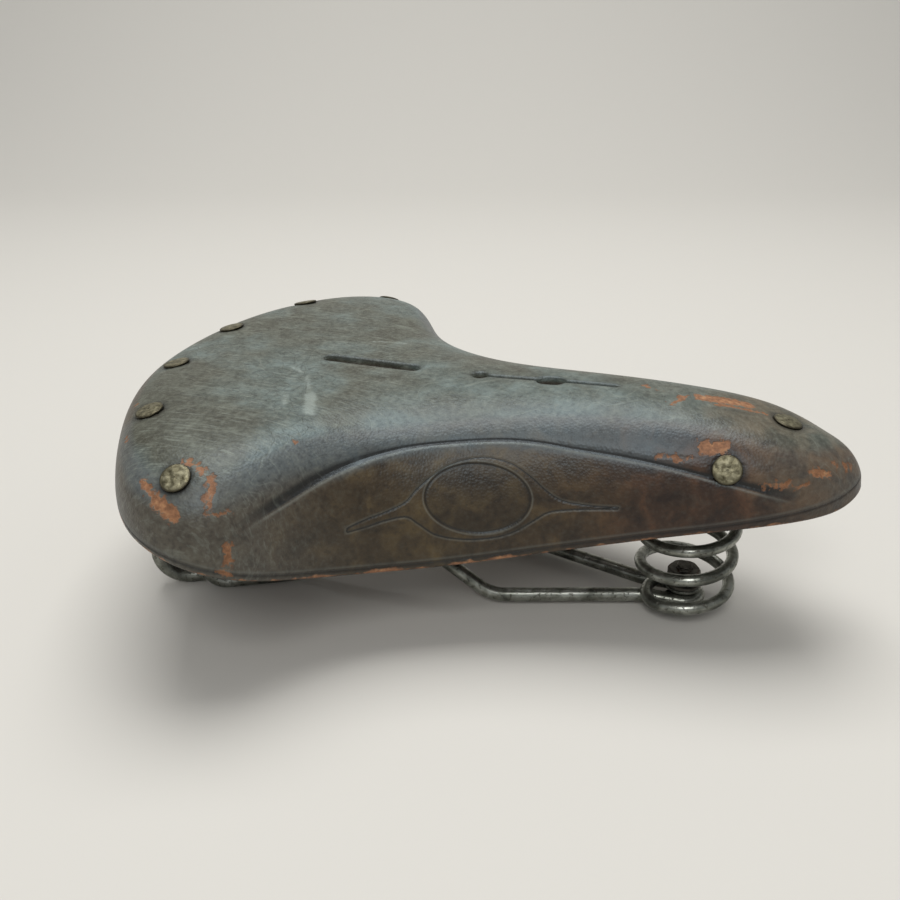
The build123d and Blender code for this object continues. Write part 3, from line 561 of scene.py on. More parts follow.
relief -= bevel_depth * (1 - smooth_step(bevel_mm, -bevel_width, 0.4))
relief -= RIVET_DIMPLE * bell(rivet_mm, 0.0, 2.4) + RIVET_BED * (rivet_mm < 0)
relief -= SLOT_ROUND * np.clip(1 - slot_mm / 0.9, 0, 1) ** 2 + SLOT_SAG * bell(slot_mm, 0.0, 3.5)
relief -= SCUFF_DEPTH * smooth_step(-scuff_mm, -0.3, 0.5)
relief = relief - UNDER_SURFACE
outer = outer + outer_normals * relief[..., None]
print("relief from", round(float(relief.min()), 2), "to", round(float(relief.max()), 2), "mm")

# %% [markdown]
# The cut edge is rounded by years of rubbing. Its rows swing from the outer face to the inner one on half
# an ellipse, and then all the faces of the shell are joined.

# %% Close the shell
EDGE_ROWS = 5
swing = np.linspace(0, np.pi, EDGE_ROWS + 2)[1:-1, None, None]
middle = (outer[-1] + inner[-1]) / 2
half_wall = (outer[-1] - inner[-1]) / 2
edge_rows = middle + half_wall * np.cos(swing) + np.array([0, 0, -1.0]) * np.sin(swing)
shell = np.concatenate([outer, edge_rows, inner[::-1]])
row_count = len(shell)
ids = np.arange(row_count * ring_count).reshape(row_count, ring_count)
closed_ridge = slot_half_width(section_points(t_ring)[0][:, 0]) <= 0
for row in (0, row_count - 1):
    merged = np.minimum(ids[row], ids[row][partner])
    ids[row] = np.where(closed_ridge, merged, ids[row])
flank_quads = grid_quads(ids, closed=True)
wall_ids = np.stack([ids[-1], ids[0]])
open_here = ~(closed_ridge & np.roll(closed_ridge, -1))
wall_quads = grid_quads(wall_ids, closed=True)[open_here]
leather_quads = np.concatenate([flank_quads, wall_quads])[:, ::-1]


def over_shell(values, inside):
    """Values of the outer face carried to the whole shell, with one value on the edge and the inner face."""
    rest = np.full((row_count - OUTER_ROWS, ring_count), float(inside))
    return np.concatenate([values, rest]).ravel()


face_kind = np.concatenate([np.zeros(OUTER_ROWS), np.full(EDGE_ROWS, 0.5), np.ones(INNER_ROWS)])
upward = outer_normals[..., 2]
# The film and sheen lies where the leather looks up: partly a real film of wax and dust, partly a painted
# reflection of the pale sky on the upward faces. It is thinner towards the nose, and also lies on the rear
# flanks and round the nose
film_and_sheen = smooth_step(upward, 0.72, 0.97) * (1 - 0.4 * smooth_step(outer[..., 0], 50, 105))
flank_film = 0.62 * smooth_step(-outer[..., 0], 0, 60) * (1 - 0.6 * smooth_step(-outer[..., 0], 92, 120))
nose_film = 0.55 * smooth_step(outer[..., 0], 75, 105) * smooth_step(upward, -0.05, 0.35)
film_and_sheen = film_and_sheen + (flank_film + nose_film) * (1 - film_and_sheen)
# The painted sheen is a painted bluish reflection of the sky on the shoulders. Below the crease both are
# thin.
painted_sheen = smooth_step(upward, 0.28, 0.62) * smooth_step(-upward, -0.99, -0.75)
painted_sheen = painted_sheen * smooth_step(-outer[..., 0], -95, -60)
painted_sheen = painted_sheen * (1 - smooth_step(-outer[..., 0], 85, 118))
below_crease = smooth_step(-crease_mm, 0.0, 4.0) * smooth_step(crease_along, 0.0, 0.3)
below_crease = below_crease * smooth_step(1 - crease_along, 0.0, 0.12)
film_and_sheen = film_and_sheen * (1 - 0.5 * below_crease)
painted_sheen = painted_sheen * (1 - 0.9 * below_crease)
FAR = 50.0
leather_attributes = {name: over_shell(values, inside) for name, values, inside in (
    ("crease_mm", np.where(crease_fade > 0.02, crease_mm, FAR), FAR), ("crease_fade", crease_fade, 0),
    ("border_mm", border_mm, FAR_OVAL), ("oval_mm", oval_mm, FAR_OVAL), ("film_and_sheen", film_and_sheen, 0),
    ("painted_sheen", painted_sheen, 0), ("rim_mm", rim_mm, 0), ("bevel_mm", bevel_mm, 0), ("rivet_mm", rivet_mm, FAR),
    ("scuff_mm", scuff_mm, FAR), ("pale_mm", pale_mm, FAR), ("slot_mm", slot_mm, FAR),
)}
leather_attributes["face_kind"] = np.repeat(face_kind, ring_count)
print("leather quads:", len(leather_quads))

# %% [markdown]
# ## Old saddle leather
# Saddles are made of thick vegetable-tanned cowhide, dyed dark brown and waxed. On top lies a dull grey-green
# layer, partly a film of wax and dust and partly a painted reflection of the sky. Where the leather was torn,
# the undyed tan shows. The real grain is about half a millimetre across, and is drawn at 0.9 mm so that it
# shows. Every size below is in millimetres.

# %% Leather: patterns
leather, tree, shader = new_material(
    "waxed_saddle_leather", IOR=1.5, Coat_Weight=0.1, Coat_Roughness=0.3, Specular_Tint="#c3d8e2")
place = node(tree, "TexCoord", out="Object")
at = {key: node(tree, "Attribute", out="Fac", attribute_name=key) for key in leather_attributes}
along = node(tree, "SeparateXYZ", [place], "X")
# Each noise: size in millimetres, detail and distortion
patches, mottle, speckle, hairs = [
    node(tree, "TexNoise", {"Vector": place, "Scale": 1 / (size * MM), "Detail": detail, "Distortion": bend})
    for size, detail, bend in ((34, 3.0, 0.2), (8, 6.0, 0.6), (1.7, 5.0, 0.0), (26, 1.0, 1.6))]
mottle_colour = node(tree, "TexNoise", {"Vector": place, "Scale": 1 / (8 * MM), "Detail": 3.0}, 1)
grain = node(tree, "TexVoronoi", {"Vector": place, "Scale": 1 / (0.9 * MM), "Randomness": 0.9})
# Fine scratches are a noise stretched to 9 by 0.8 mm and turned both ways
STRETCH = (1 / (9 * MM), 1 / (0.8 * MM), 1 / (3 * MM))
scratches = []
for turn in (0.9, -0.5):
    turned = node(tree, "Mapping", {"Vector": place, "Rotation": (0.0, 0.0, turn), "Scale": STRETCH})
    stretched = {"Vector": turned, "Scale": 1.0, "Detail": 3.0, "Distortion": 0.5}
    scratches.append(node(tree, "TexNoise", stretched))
# Crazing follows the edges of cells of 4.5 mm, made crooked by a noise
crooked = node(tree, "Mix", {0: 0.004, 4: place, 5: mottle_colour}, 1, data_type="VECTOR")
cells = node(tree, "TexVoronoi", {"Vector": crooked, "Scale": 1 / (4.5 * MM)}, feature="DISTANCE_TO_EDGE")
hairline = node(tree, "ValToRGB", [hairs], stops=[(0.492, 0.0), (0.5, 1.0), (0.508, 0.0)])
print("patterns of the leather:", len(tree.nodes))

# %% Leather: the tones of dye, of film with painted sky reflection, and of bare hide
tones = {name: node(tree, "ValToRGB", [pattern], stops=stops) for name, pattern, stops in (
    ("dye", mottle, [(0.3, "#2e2212"), (0.5, "#3e301c"), (0.72, "#524226")]),
    ("red_dye", mottle, [(0.3, "#2a1a0f"), (0.52, "#3b2616"), (0.74, "#54351f")]),
    ("grey_film_and_sheen", mottle, [(0.3, "#454b44"), (0.5, "#555d57"), (0.7, "#66716d")]),
    ("brown_film_and_sheen", mottle, [(0.3, "#3b382c"), (0.5, "#48473b"), (0.7, "#58594d")]),
    ("tan", speckle, [(0.32, "#714c30"), (0.5, "#8e6140"), (0.68, "#ab7c54")]),
    ("flesh", mottle, [(0.3, "#33251a"), (0.55, "#574030"), (0.75, "#6f543c")]),
)}
print("tones of the leather:", ", ".join(tones))

# %% [markdown]
# A mask says how much of a layer shows at each point: it is 0 where its value is at the first number and 1
# at the second, with a smooth step between. Adding some noise to a value first makes the mask's edge ragged.
# Masks that are multiplied leave only the places where all of them are open.

# %% Leather: masks
sums = {name: node(tree, "Math", [pattern, amount, rest], **PLUS) for name, pattern, amount, rest in (
    ("front", patches, 0.05, along), ("rear", patches, 0.10, along), ("film_and_sheen", mottle, 0.2, at["film_and_sheen"]),
    ("pale", speckle, 4.0, at["pale_mm"]), ("torn", mottle, 3.0, at["scuff_mm"]),
    ("raw_edge", mottle, 6.0, at["rim_mm"]),
)}
sums["film_and_sheen"] = node(tree, "Math", [patches, 0.3, sums["film_and_sheen"]], **PLUS)
sums["torn"] = node(tree, "Math", [speckle, 6.5, sums["torn"]], **PLUS)
masks = {name: node(tree, "MapRange", ends, **MASK) for name, *ends in (
    ("front", sums["front"], 0.03, 0.11), ("rear", sums["rear"], 0.06, 0.01),
    ("film_and_sheen", sums["film_and_sheen"], 0.25, 1.15), ("brown_film_and_sheen", patches, 0.66, 0.40),
    ("warm_film_and_sheen", at["film_and_sheen"], 0.85, 0.5), ("some_film_and_sheen", at["film_and_sheen"], 0.05, 0.4),
    ("thick_film_and_sheen", at["film_and_sheen"], 0.7, 0.95), ("painted_sheen", patches, 0.2, 0.6), ("broken", mottle, 0.1, 0.5),
    ("dust", speckle, 0.46, 0.74), ("pores", speckle, 0.48, 0.3),
    ("one_way", scratches[0], 0.56, 0.66), ("other_way", scratches[1], 0.58, 0.68),
    ("nose", along, 0.05, 0.095), ("nose_mottle", mottle, 0.36, 0.7), ("cracks", cells, 0.07, 0.0),
    ("crack_patches", patches, 0.5, 0.62), ("rear_half", along, -0.02, -0.05),
    ("hair_patches", patches, 0.44, 0.56), ("pale", sums["pale"], 3.2, 1.4),
    ("torn", sums["torn"], 5.3, 4.2), ("raw_edge", sums["raw_edge"], 3.3, 2.5),
    ("inside", at["face_kind"], 0.5, 0.9),
)}
half_scratches = node(tree, "Math", [masks["one_way"], 0.5], **TIMES)
masks["scratches"] = node(tree, "Math", [masks["other_way"], 0.5, half_scratches], **PLUS)
masks["hairlines"] = hairline
for name, factors in (
    ("scratches", ("rear", "film_and_sheen")), ("hairlines", ("hair_patches", "film_and_sheen")),
    ("nose", ("nose_mottle", "some_film_and_sheen")), ("cracks", ("crack_patches", "rear_half", "thick_film_and_sheen")),
):
    for factor in factors:
        masks[name] = node(tree, "Math", [masks[name], masks[factor]], **TIMES)
# The top's tone: grey-green, browner in patches and warmer where thin; partly a film of wax and dust, partly
# painted sky reflection
film_and_sheen_tone = tones["grey_film_and_sheen"]
for name, tone in (("brown_film_and_sheen", tones["brown_film_and_sheen"]), ("warm_film_and_sheen", "#575047")):
    film_and_sheen_tone = node(tree, "Mix", {0: masks[name], 6: film_and_sheen_tone, 7: tone}, **COVER)
# The painted sheen: a painted bluish reflection on the shoulders, broken into patches
painted_sheen_amount = node(tree, "Math", [at["painted_sheen"], 0.38, -0.25], **PLUS)
painted_sheen_amount = node(tree, "Math", [masks["painted_sheen"], 0.25, painted_sheen_amount], **PLUS)
dust_strength = node(tree, "Math", [masks["film_and_sheen"], 0.22, 0.06], **PLUS)
print("masks of the leather:", len(masks))

# %% Leather: from dye to dust
colour = tones["dye"]
# The bluish #5a6c74 is the painted sheen on the shoulders, and the film tone is partly painted sky reflection
for mask, strength, tone in (
    (masks["front"], 1.0, tones["red_dye"]), (masks["film_and_sheen"], 1.0, film_and_sheen_tone), (painted_sheen_amount, 1.0, "#5a6c74"),
    (masks["scratches"], 0.4, "#8d9388"), (masks["dust"], dust_strength, "#7d7f73"),
    (masks["pores"], 0.35, "#1f1913"), (masks["nose"], 0.35, "#6f5a41"), (masks["cracks"], 0.35, "#2b2a24"),
):
    amount = node(tree, "Math", [mask, strength], **TIMES)
    colour = node(tree, "Mix", {0: amount, 6: colour, 7: tone}, **COVER)
print("dye and film:", len(tree.nodes))

# %% [markdown]
# Every groove, rivet foot and slot rim gets a dark line that is painted shade with some dirt in it, and the
# edge beside a groove gets a pale line that is a painted highlight. For each stored distance, one colour ramp
# gives the strength over a span of millimetres: first of the painted shade and dirt, then of the painted
# highlight.

# %% Leather: painted shade and dirt in the grooves, painted highlights beside them
# Painted shade with some dirt: dark lines in the crease, border, oval and bevel, round the rivets and at the
# slots' rims
GROOVE_SHADE_AND_DIRT = {
    "crease_mm": (-2.0, 8.0, [(0.18, 0.0), (0.22, 0.95), (0.31, 0.85), (0.38, 0.0)]),
    "border_mm": (-3.0, 3.0, [(0.43, 0.0), (0.51, 0.9), (0.59, 0.0)]),
    "oval_mm": (-8.0, 2.0, [(0.2, 0.16), (0.7, 0.2), (0.77, 0.8), (0.83, 0.0)]),
    "bevel_mm": (-3.0, 3.0, [(0.3, 0.25), (0.5, 0.7), (0.6, 0.25), (0.8, 0.0)]),
    "rivet_mm": (-1.0, 4.0, [(0.2, 0.85), (0.34, 0.5), (0.7, 0.0)]),
    "slot_mm": (-1.0, 4.0, [(0.2, 0.5), (0.3, 0.45), (0.6, 0.0)]),
}
# Painted highlights: pale lines beside the grooves, where a groove's wall would catch the light
GROOVE_HIGHLIGHTS = {
    "crease_mm": (-4.0, 1.0, [(0.56, 0.0), (0.71, 0.4), (0.79, 0.0)]),
    "border_mm": (-1.0, 4.0, [(0.24, 0.0), (0.3, 0.18), (0.42, 0.0)]),
    "oval_mm": (-1.0, 4.0, [(0.2, 0.0), (0.28, 0.3), (0.38, 0.0)]),
    "bevel_mm": (0.0, 5.0, [(0.1, 0.0), (0.18, 0.2), (0.34, 0.0)]),
}
# 17120e is the painted shade with dirt, #7c7f78 the painted highlight
for marks, tone in ((GROOVE_SHADE_AND_DIRT, "#17120e"), (GROOVE_HIGHLIGHTS, "#7c7f78")):
    for key, (low, high, stops) in marks.items():
        span = node(tree, "MapRange", [at[key], low, high])
        line = node(tree, "ValToRGB", [span], stops=stops)
        amount = node(tree, "Math", [line, masks["broken"]], **TIMES)
        if key == "crease_mm":
            amount = node(tree, "Math", [amount, at["crease_fade"]], **TIMES)
        colour = node(tree, "Mix", {0: amount, 6: colour, 7: tone}, **COVER)
print("grooves drawn:", len(GROOVE_SHADE_AND_DIRT), "dirty,", len(GROOVE_HIGHLIGHTS), "rubbed")

# %% Leather: hairlines, torn streaks and the cut edge
for name, strength, tone in (
    ("hairlines", 0.16, "#9a9f92"), ("pale", 0.4, "#a0a8a0"), ("torn", 0.9, tones["tan"]),
    ("raw_edge", 0.85, tones["tan"]), ("inside", 1.0, tones["flesh"]),
):
    amount = node(tree, "Math", [masks[name], strength], **TIMES)
    colour = node(tree, "Mix", {0: amount, 6: colour, 7: tone}, **COVER)
print("colour finished:", len(tree.nodes))

# %% Leather: shine and relief too fine for the mesh
roughness = node(tree, "Math", [mottle, 0.2, 0.30], **PLUS)
for name, amount in (("film_and_sheen", 0.05), ("torn", 0.3), ("inside", 0.4)):
    roughness = node(tree, "Math", [masks[name], amount, roughness], **PLUS)
height = node(tree, "Math", [grain, 0.09], **TIMES)
for pattern, depth in (
    (speckle, 0.08), (mottle, 0.10), (masks["hairlines"], -0.03), (masks["scratches"], -0.04),
    (masks["torn"], -0.12), (masks["cracks"], -0.06),
):
    height = node(tree, "Math", [pattern, depth, height], **PLUS)
GROOVE_HALF = 0.9
for key, at_mm, depth in (
    ("border_mm", 0.1, -0.22), ("oval_mm", -0.5, -0.22), ("bevel_mm", 0.0, -0.25), ("crease_mm", 0.6, -0.3),
):
    span = node(tree, "MapRange", [at[key], at_mm - GROOVE_HALF, at_mm + GROOVE_HALF])
    groove = node(tree, "ValToRGB", [span], stops=[(0.1, 0.0), (0.5, 1.0), (0.9, 0.0)])
    height = node(tree, "Math", [groove, depth, height], **PLUS)
connect(tree, shader, colour, roughness, height)
leather_top = new_piece("leather_top_skin", shell.reshape(-1, 3), leather_quads, leather, leather_attributes)
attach(leather_top, "saddle_top")
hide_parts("leather_top")
print("leather:", len(tree.nodes), "nodes and", len(leather_top.data.polygons), "faces")

# %% [markdown]
# ## Brass rivets
# The leather hangs from a plate at each end by tubular brass rivets. Their low heads were hammered flat on
# an anvil and have gone dull and greenish, with a dark ring round the foot that is partly dirt and partly
# painted contact shade. Each is a profile turned about its own axis: at distance r from the axis, the head's
# height is that of a low dome with a rolled edge.

# %% Rivet metal
brass, tree, shader = new_material("aged_rivet_brass", Metallic=0.85)
place = node(tree, "TexCoord", out="Object")
tarnish = node(tree, "TexNoise", {"Vector": place, "Scale": 1 / (1.5 * MM), "Detail": 7.0, "Distortion": 0.4})
dents = node(tree, "TexVoronoi", {"Vector": place, "Scale": 1 / (1.9 * MM)}, feature="SMOOTH_F1")
from_axis = node(tree, "Attribute", out="Fac", attribute_name="from_axis_mm")
colour = node(tree, "ValToRGB", [tarnish], stops=[(0.3, "#4d4835"), (0.48, "#736e58"), (0.68, "#938e76")])
# A dark ring near the head's rim, #2a241a: partly dirt, partly painted contact shade where the head meets the
# leather
ragged = node(tree, "Math", [tarnish, 2.0, from_axis], **PLUS)
foot_dirt_and_shade = node(tree, "MapRange", [ragged, 4.9, 5.6], **MASK)
foot_dirt_and_shade = node(tree, "Math", [foot_dirt_and_shade, 0.75], **TIMES)
colour = node(tree, "Mix", {0: foot_dirt_and_shade, 6: colour, 7: "#2a241a"}, **COVER)
roughness = node(tree, "Math", [tarnish, 0.3, 0.3], **PLUS)
height = node(tree, "Math", [tarnish, 0.12], **TIMES)
height = node(tree, "Math", [dents, 0.35, height], **PLUS)
connect(tree, shader, colour, roughness, height)
print("rivet brass:", len(tree.nodes), "nodes")

# %% Rivet shapes
PLATE_GAP, PLATE_WALL, BURR_GAP, BURR_THICKNESS, FIT = 0.2, 2.0, 1.1, 1.0, 0.05
GRIP = LEATHER_WALL + PLATE_GAP + PLATE_WALL
SHANK_RADIUS, TAIL_RADIUS, TAIL_HEIGHT = 2.0, 2.9, 1.0
RIVET_SEGMENTS = 40


def rivet_body(seat, normal, grip):
    """A closed turned body: each (r, h) of the profile becomes seat + r (u cos a + w sin a) + h normal."""
    tail = -(grip + BURR_GAP + BURR_THICKNESS + FIT)
    angle = np.linspace(0, np.pi / 2, 12)[:-1]
    lip = np.stack([RIVET_RADIUS - 0.5 + 0.5 * np.cos(angle), 0.36 * np.sin(angle)], -1)
    cap_r = np.linspace(RIVET_RADIUS - 0.8, 0.3, 12)
    cap = np.stack([cap_r, 0.15 + 0.45 * np.sqrt(1 - (cap_r / (RIVET_RADIUS + 0.4)) ** 2)], -1)
    stem = [
        (0.4, tail - TAIL_HEIGHT), (TAIL_RADIUS * 0.8, tail - TAIL_HEIGHT),
        (TAIL_RADIUS, tail - 0.4 * TAIL_HEIGHT), (TAIL_RADIUS, tail), (SHANK_RADIUS, tail),
        (SHANK_RADIUS, -0.5), (RIVET_RADIUS - 0.2, -0.5), (RIVET_RADIUS, -0.2)]
    profile = np.concatenate([stem, lip, cap])
    turn = np.linspace(0, 2 * np.pi, RIVET_SEGMENTS, endpoint=False)
    u = np.cross(normal, [1.0, 0.0, 0.0])
    u /= np.linalg.norm(u)
    w = np.cross(normal, u)
    ring = u * np.cos(turn)[:, None] + w * np.sin(turn)[:, None]
    rings = seat + profile[:, None, :1] * ring + profile[:, None, 1:] * normal
    return closed_rings(rings), np.append(np.repeat(profile[:, 0], RIVET_SEGMENTS), [0.0, 0.0])


def add_rivets(name, seats, grips, node_name):
    """All the rivets of one CAD node as one piece, with the distance from each rivet's axis stored."""
    bodies, radii = zip(*[rivet_body(p, n, grip) for (p, n), grip in zip(seats, grips)])
    points, quads, tris = joined(bodies)
    piece = new_piece(name, points, quads, brass, {"from_axis_mm": np.concatenate(radii)}, tris)
    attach(piece, "saddle_top")
    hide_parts(node_name)
    return piece


def grip_at(seat):
    """How much leather and plate a rivet holds: the wall's offset, measured along the normal."""
    return (leather_at(*seat) - leather_at(*seat, GRIP)) @ leather_normal(*seat)


add_rivets("rear_rivet_heads", rear_seats, [grip_at(r) for r in REAR_RIVETS] * 2, "rear_rivets")
add_rivets("nose_rivet_heads", nose_seats, [grip_at(NOSE_SIDE_RIVET)] * 2 + [GRIP], "nose_rivets")
print("rivets placed:", len(rear_seats) + len(nose_seats))

# %% [markdown]
# ## Spring wire
# The frame is one bent 5 mm wire and the nose spring is a coil of 4.2 mm wire, both nickel plated. Most of
# the plating has worn to dark steel with fine pits. Each wire is a circle carried along its path.

# %% Paths and tubes
def bent_path(corners, bends, step=1.2):
    """A path with straight runs and round bends, resampled evenly: at a corner whose sides a and b stand
    at an angle of 2h, an arc of radius r has its middle r / sin(h) from the corner on the line between."""
    corners = np.asarray(corners, float)
    runs = [corners[:1]]
    for before, corner, after, radius in zip(corners, corners[1:], corners[2:], bends):
        a, b = (v / np.linalg.norm(v) for v in (before - corner, after - corner))
        half = np.arccos(np.clip(a @ b, -1, 1)) / 2
        middle = corner + (a + b) / np.linalg.norm(a + b) * radius / np.sin(half)
        start, end = corner + a * radius / np.tan(half) - middle, corner + b * radius / np.tan(half) - middle
        turn = np.pi - 2 * half
        k = np.linspace(0, 1, 16)[:, None]
        runs.append(middle + (np.sin((1 - k) * turn) * start + np.sin(k * turn) * end) / np.sin(turn))
    return even_path(np.concatenate(runs + [corners[-1:]]), step)


def even_path(path, step):
    """The same path with its points about a step apart."""
    length = np.concatenate([[0], np.cumsum(np.linalg.norm(np.diff(path, axis=0), axis=1))])
    spots = np.linspace(0, length[-1], int(length[-1] / step) + 1)
    return np.stack([np.interp(spots, length, path[:, k]) for k in range(3)], -1)


def tube(path, half_width, half_height, up=None, segments=28):
    """A closed tube: at each point p, p + half_width cos(a) side + half_height sin(a) top. The side is level
    where an up direction is given, and else carried along the path without twisting."""
    tangents = np.gradient(path, axis=0)
    tangents /= np.linalg.norm(tangents, axis=1, keepdims=True)
    if up is None:
        side = np.cross(tangents[0], [0.1, 0.2, 1.0])
        sides = [side := (side - t * (side @ t)) / np.linalg.norm(side - t * (side @ t)) for t in tangents]
    else:
        sides = np.cross(tangents, up)
    sides = np.asarray(sides) / np.linalg.norm(sides, axis=1, keepdims=True)
    tops = np.cross(sides, tangents)
    turn = np.linspace(0, 2 * np.pi, segments, endpoint=False)[:, None]
    wide, high = (np.broadcast_to(h, len(path))[:, None, None] for h in (half_width, half_height))
    rings = path[:, None] + wide * np.cos(turn) * sides[:, None] + high * np.sin(turn) * tops[:, None]
    return closed_rings(rings)


print("a bent path of two runs:", len(bent_path([(0, 0, 0), (30, 0, 0), (30, 30, 0)], [10])), "points")


# %% Wire material
wire, tree, shader = new_material("worn_nickel_spring_wire", Metallic=0.9)
place = node(tree, "TexCoord", out="Object")
wear, pits = [
    node(tree, "TexNoise", {"Vector": place, "Scale": 1 / (size * MM), "Detail": 6.0, "Distortion": 0.3})
    for size in (6.0, 1.1)]
colour = node(tree, "ValToRGB", [wear], stops=[(0.34, "#5c5e57"), (0.5, "#86887f"), (0.66, "#adafa7")])
rust = node(tree, "MapRange", [pits, 0.56, 0.66], **MASK)
half_rust = node(tree, "Math", [rust, 0.5], **TIMES)
colour = node(tree, "Mix", {0: half_rust, 6: colour, 7: "#3f372d"}, **COVER)
roughness = node(tree, "Math", [wear, -0.2, 0.42], **PLUS)
roughness = node(tree, "Math", [rust, 0.25, roughness], **PLUS)
height = node(tree, "Math", [wear, 0.1], **TIMES)
height = node(tree, "Math", [rust, -0.08, height], **PLUS)
connect(tree, shader, colour, roughness, height)
print("spring wire:", len(tree.nodes), "nodes")

# %% The frame wire and the rear springs
FRAME_WIRE, RAIL_SPREAD, CLIP_HEIGHT, HAIRPIN_STRAIGHT = 5.0, 42.5, 19.0, 14.5
BOLT_X = HALF_LENGTH - 52.5
WIRE_END_X, WIRE_END_INNER = 22.5 - HALF_LENGTH, 0.243 * HALF_WIDTH
WIRE_END_OUTER, WIRE_END_HEIGHT = WIRE_END_INNER + 12.0, SEAT_HEIGHT - 14.0
RAIL_HEIGHT, HAIRPIN_RADIUS = 1.5 + FRAME_WIRE / 2, 3.0 + FRAME_WIRE / 2 + 0.1
low_front = np.array([-0.488 * HALF_LENGTH, RAIL_SPREAD / 2 + 4.25, FRAME_WIRE / 2])
low_rear = np.array([-0.677 * HALF_LENGTH, WIRE_END_OUTER + 1.5, FRAME_WIRE / 2])
rail_corners = np.array([
    low_rear, low_front, (-0.331 * HALF_LENGTH, RAIL_SPREAD / 2, CLIP_HEIGHT),
    (-0.110 * HALF_LENGTH, RAIL_SPREAD / 2, CLIP_HEIGHT), (0.071 * HALF_LENGTH, RAIL_SPREAD / 2, RAIL_HEIGHT),
    (BOLT_X - HAIRPIN_STRAIGHT, HAIRPIN_RADIUS, RAIL_HEIGHT), (BOLT_X, HAIRPIN_RADIUS, RAIL_HEIGHT),
])
left_rail = bent_path(rail_corners, [16, 14, 14, 16, 20])
swing = np.linspace(np.pi / 2, -np.pi / 2, 20)[1:-1, None]
half_ring = np.concatenate([np.cos(swing), np.sin(swing), 0 * swing], 1)
hairpin = np.array([BOLT_X, 0, RAIL_HEIGHT]) + HAIRPIN_RADIUS * half_ring
right_rail = left_rail[::-1] * np.array([1, -1, 1])
frame_path = np.concatenate([left_rail, hairpin, right_rail])


def add_wire(name, body, node_name):
    """One closed wire body as a piece that stands for a CAD node."""
    points, quads, tris = body
    piece = new_piece(name, points, quads, wire, tris=tris)
    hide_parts(node_name)
    return piece


WIRE_RADIUS = FRAME_WIRE / 2
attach(add_wire("frame_wire_bent", tube(frame_path, WIRE_RADIUS, WIRE_RADIUS), "frame_wire"), "frame")
frame_length = np.linalg.norm(np.diff(frame_path, axis=0), axis=1).sum()
print("frame wire length in mm:", round(float(frame_length)))

# %% The rear springs
# The wire goes on behind the frame, loops up and forward over itself, comes back low beside its first run,
# and climbs to the plate
LOOP_REACH, LOOP_HEIGHT, LOOP_GAP, RISER_FOOT_ALONG, RISER_TOP_ALONG = 8.5, 18.5, 1.3, -0.882, -0.854
run = (low_rear - low_front) * np.array([1, 1, 0])
run /= np.linalg.norm(run)
high = np.array([0, 0, LOOP_HEIGHT])
back = low_rear + run * LOOP_REACH
beside = low_rear - np.array([run[1], -run[0], 0]) * (FRAME_WIRE + LOOP_GAP)
foot = beside + run * (RISER_FOOT_ALONG * HALF_LENGTH - beside[0]) / run[0]
front = foot - run * ((foot[0] - (low_rear[0] + LOOP_REACH)) / run[0])
loop_corners = np.array([
    low_rear, back, back + high - [0, 2.0, 0], front + high + [0, 7.2, 0], front, foot,
    (RISER_TOP_ALONG * HALF_LENGTH, WIRE_END_OUTER + 5.5, WIRE_END_HEIGHT),
    (WIRE_END_X, WIRE_END_OUTER + 2.5, WIRE_END_HEIGHT), (WIRE_END_X, WIRE_END_OUTER, WIRE_END_HEIGHT),
])
for side_name, side in (("right", -1), ("left", 1)):
    path = bent_path(loop_corners * np.array([1, side, 1]), [7, 8, 8, 7, 11, 3.2, 2.8])
    body = tube(path, WIRE_RADIUS, WIRE_RADIUS)
    loop = add_wire(f"rear_spring_{side_name}", body, f"rear_loop_{side_name}")
    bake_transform(loop)
ends = []
for side in (-1, 1):
    end_line = [(WIRE_END_X, side * y, WIRE_END_HEIGHT) for y in (WIRE_END_INNER, WIRE_END_OUTER)]
    ends.append(tube(even_path(np.array(end_line), 2.0), WIRE_RADIUS, WIRE_RADIUS))
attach(add_wire("rear_spring_ends", joined(ends), "rear_wire_ends"), "rear_ends")
print("points along a rear spring:", len(path))

# %% [markdown]
# The coil of the nose spring is a helix: at turn n its point is (R cos, R sin) with the height growing by
# one pitch per turn. Each end spirals in to an eye round its bolt, where the wire is hammered flat.

# %% The nose coil
COIL_RADIUS, COIL_WIRE, EYE_MIDDLE, EYE_HALF_WIDTH = 15.7, 4.2, 4.8, 1.75
COIL_LOW, COIL_HIGH, EYE_LOW, EYE_HIGH = 6.4, 47.4, 7.5, 48.5
COIL_START, COIL_TURNS = np.radians(-120.0), 3.56
SPIRAL = np.radians(120.0)
EYE_TURN = np.radians(330.0)
total = 2 * np.pi * COIL_TURNS
angle = np.linspace(-SPIRAL - EYE_TURN, total + SPIRAL + EYE_TURN, 560)
before, after = smooth_step(-angle, 0.0, SPIRAL), smooth_step(angle - total, 0.0, SPIRAL)
flat = np.maximum(before, after)
radius = COIL_RADIUS + (EYE_MIDDLE - COIL_RADIUS) * flat
rise = COIL_LOW + (COIL_HIGH - COIL_LOW) * np.clip(angle / total, 0, 1)
rise = rise + (EYE_LOW - COIL_LOW) * before + (EYE_HIGH - COIL_HIGH) * after
spin_angle = COIL_START + angle
coil_path = np.stack([BOLT_X + radius * np.cos(spin_angle), radius * np.sin(spin_angle), rise], -1)
half_width = COIL_WIRE / 2 + (EYE_HALF_WIDTH - COIL_WIRE / 2) * flat
half_height = COIL_WIRE / 2 + (1.0 - COIL_WIRE / 2) * smooth_step(flat, 0.45, 1.0)
middle = len(angle) // 2
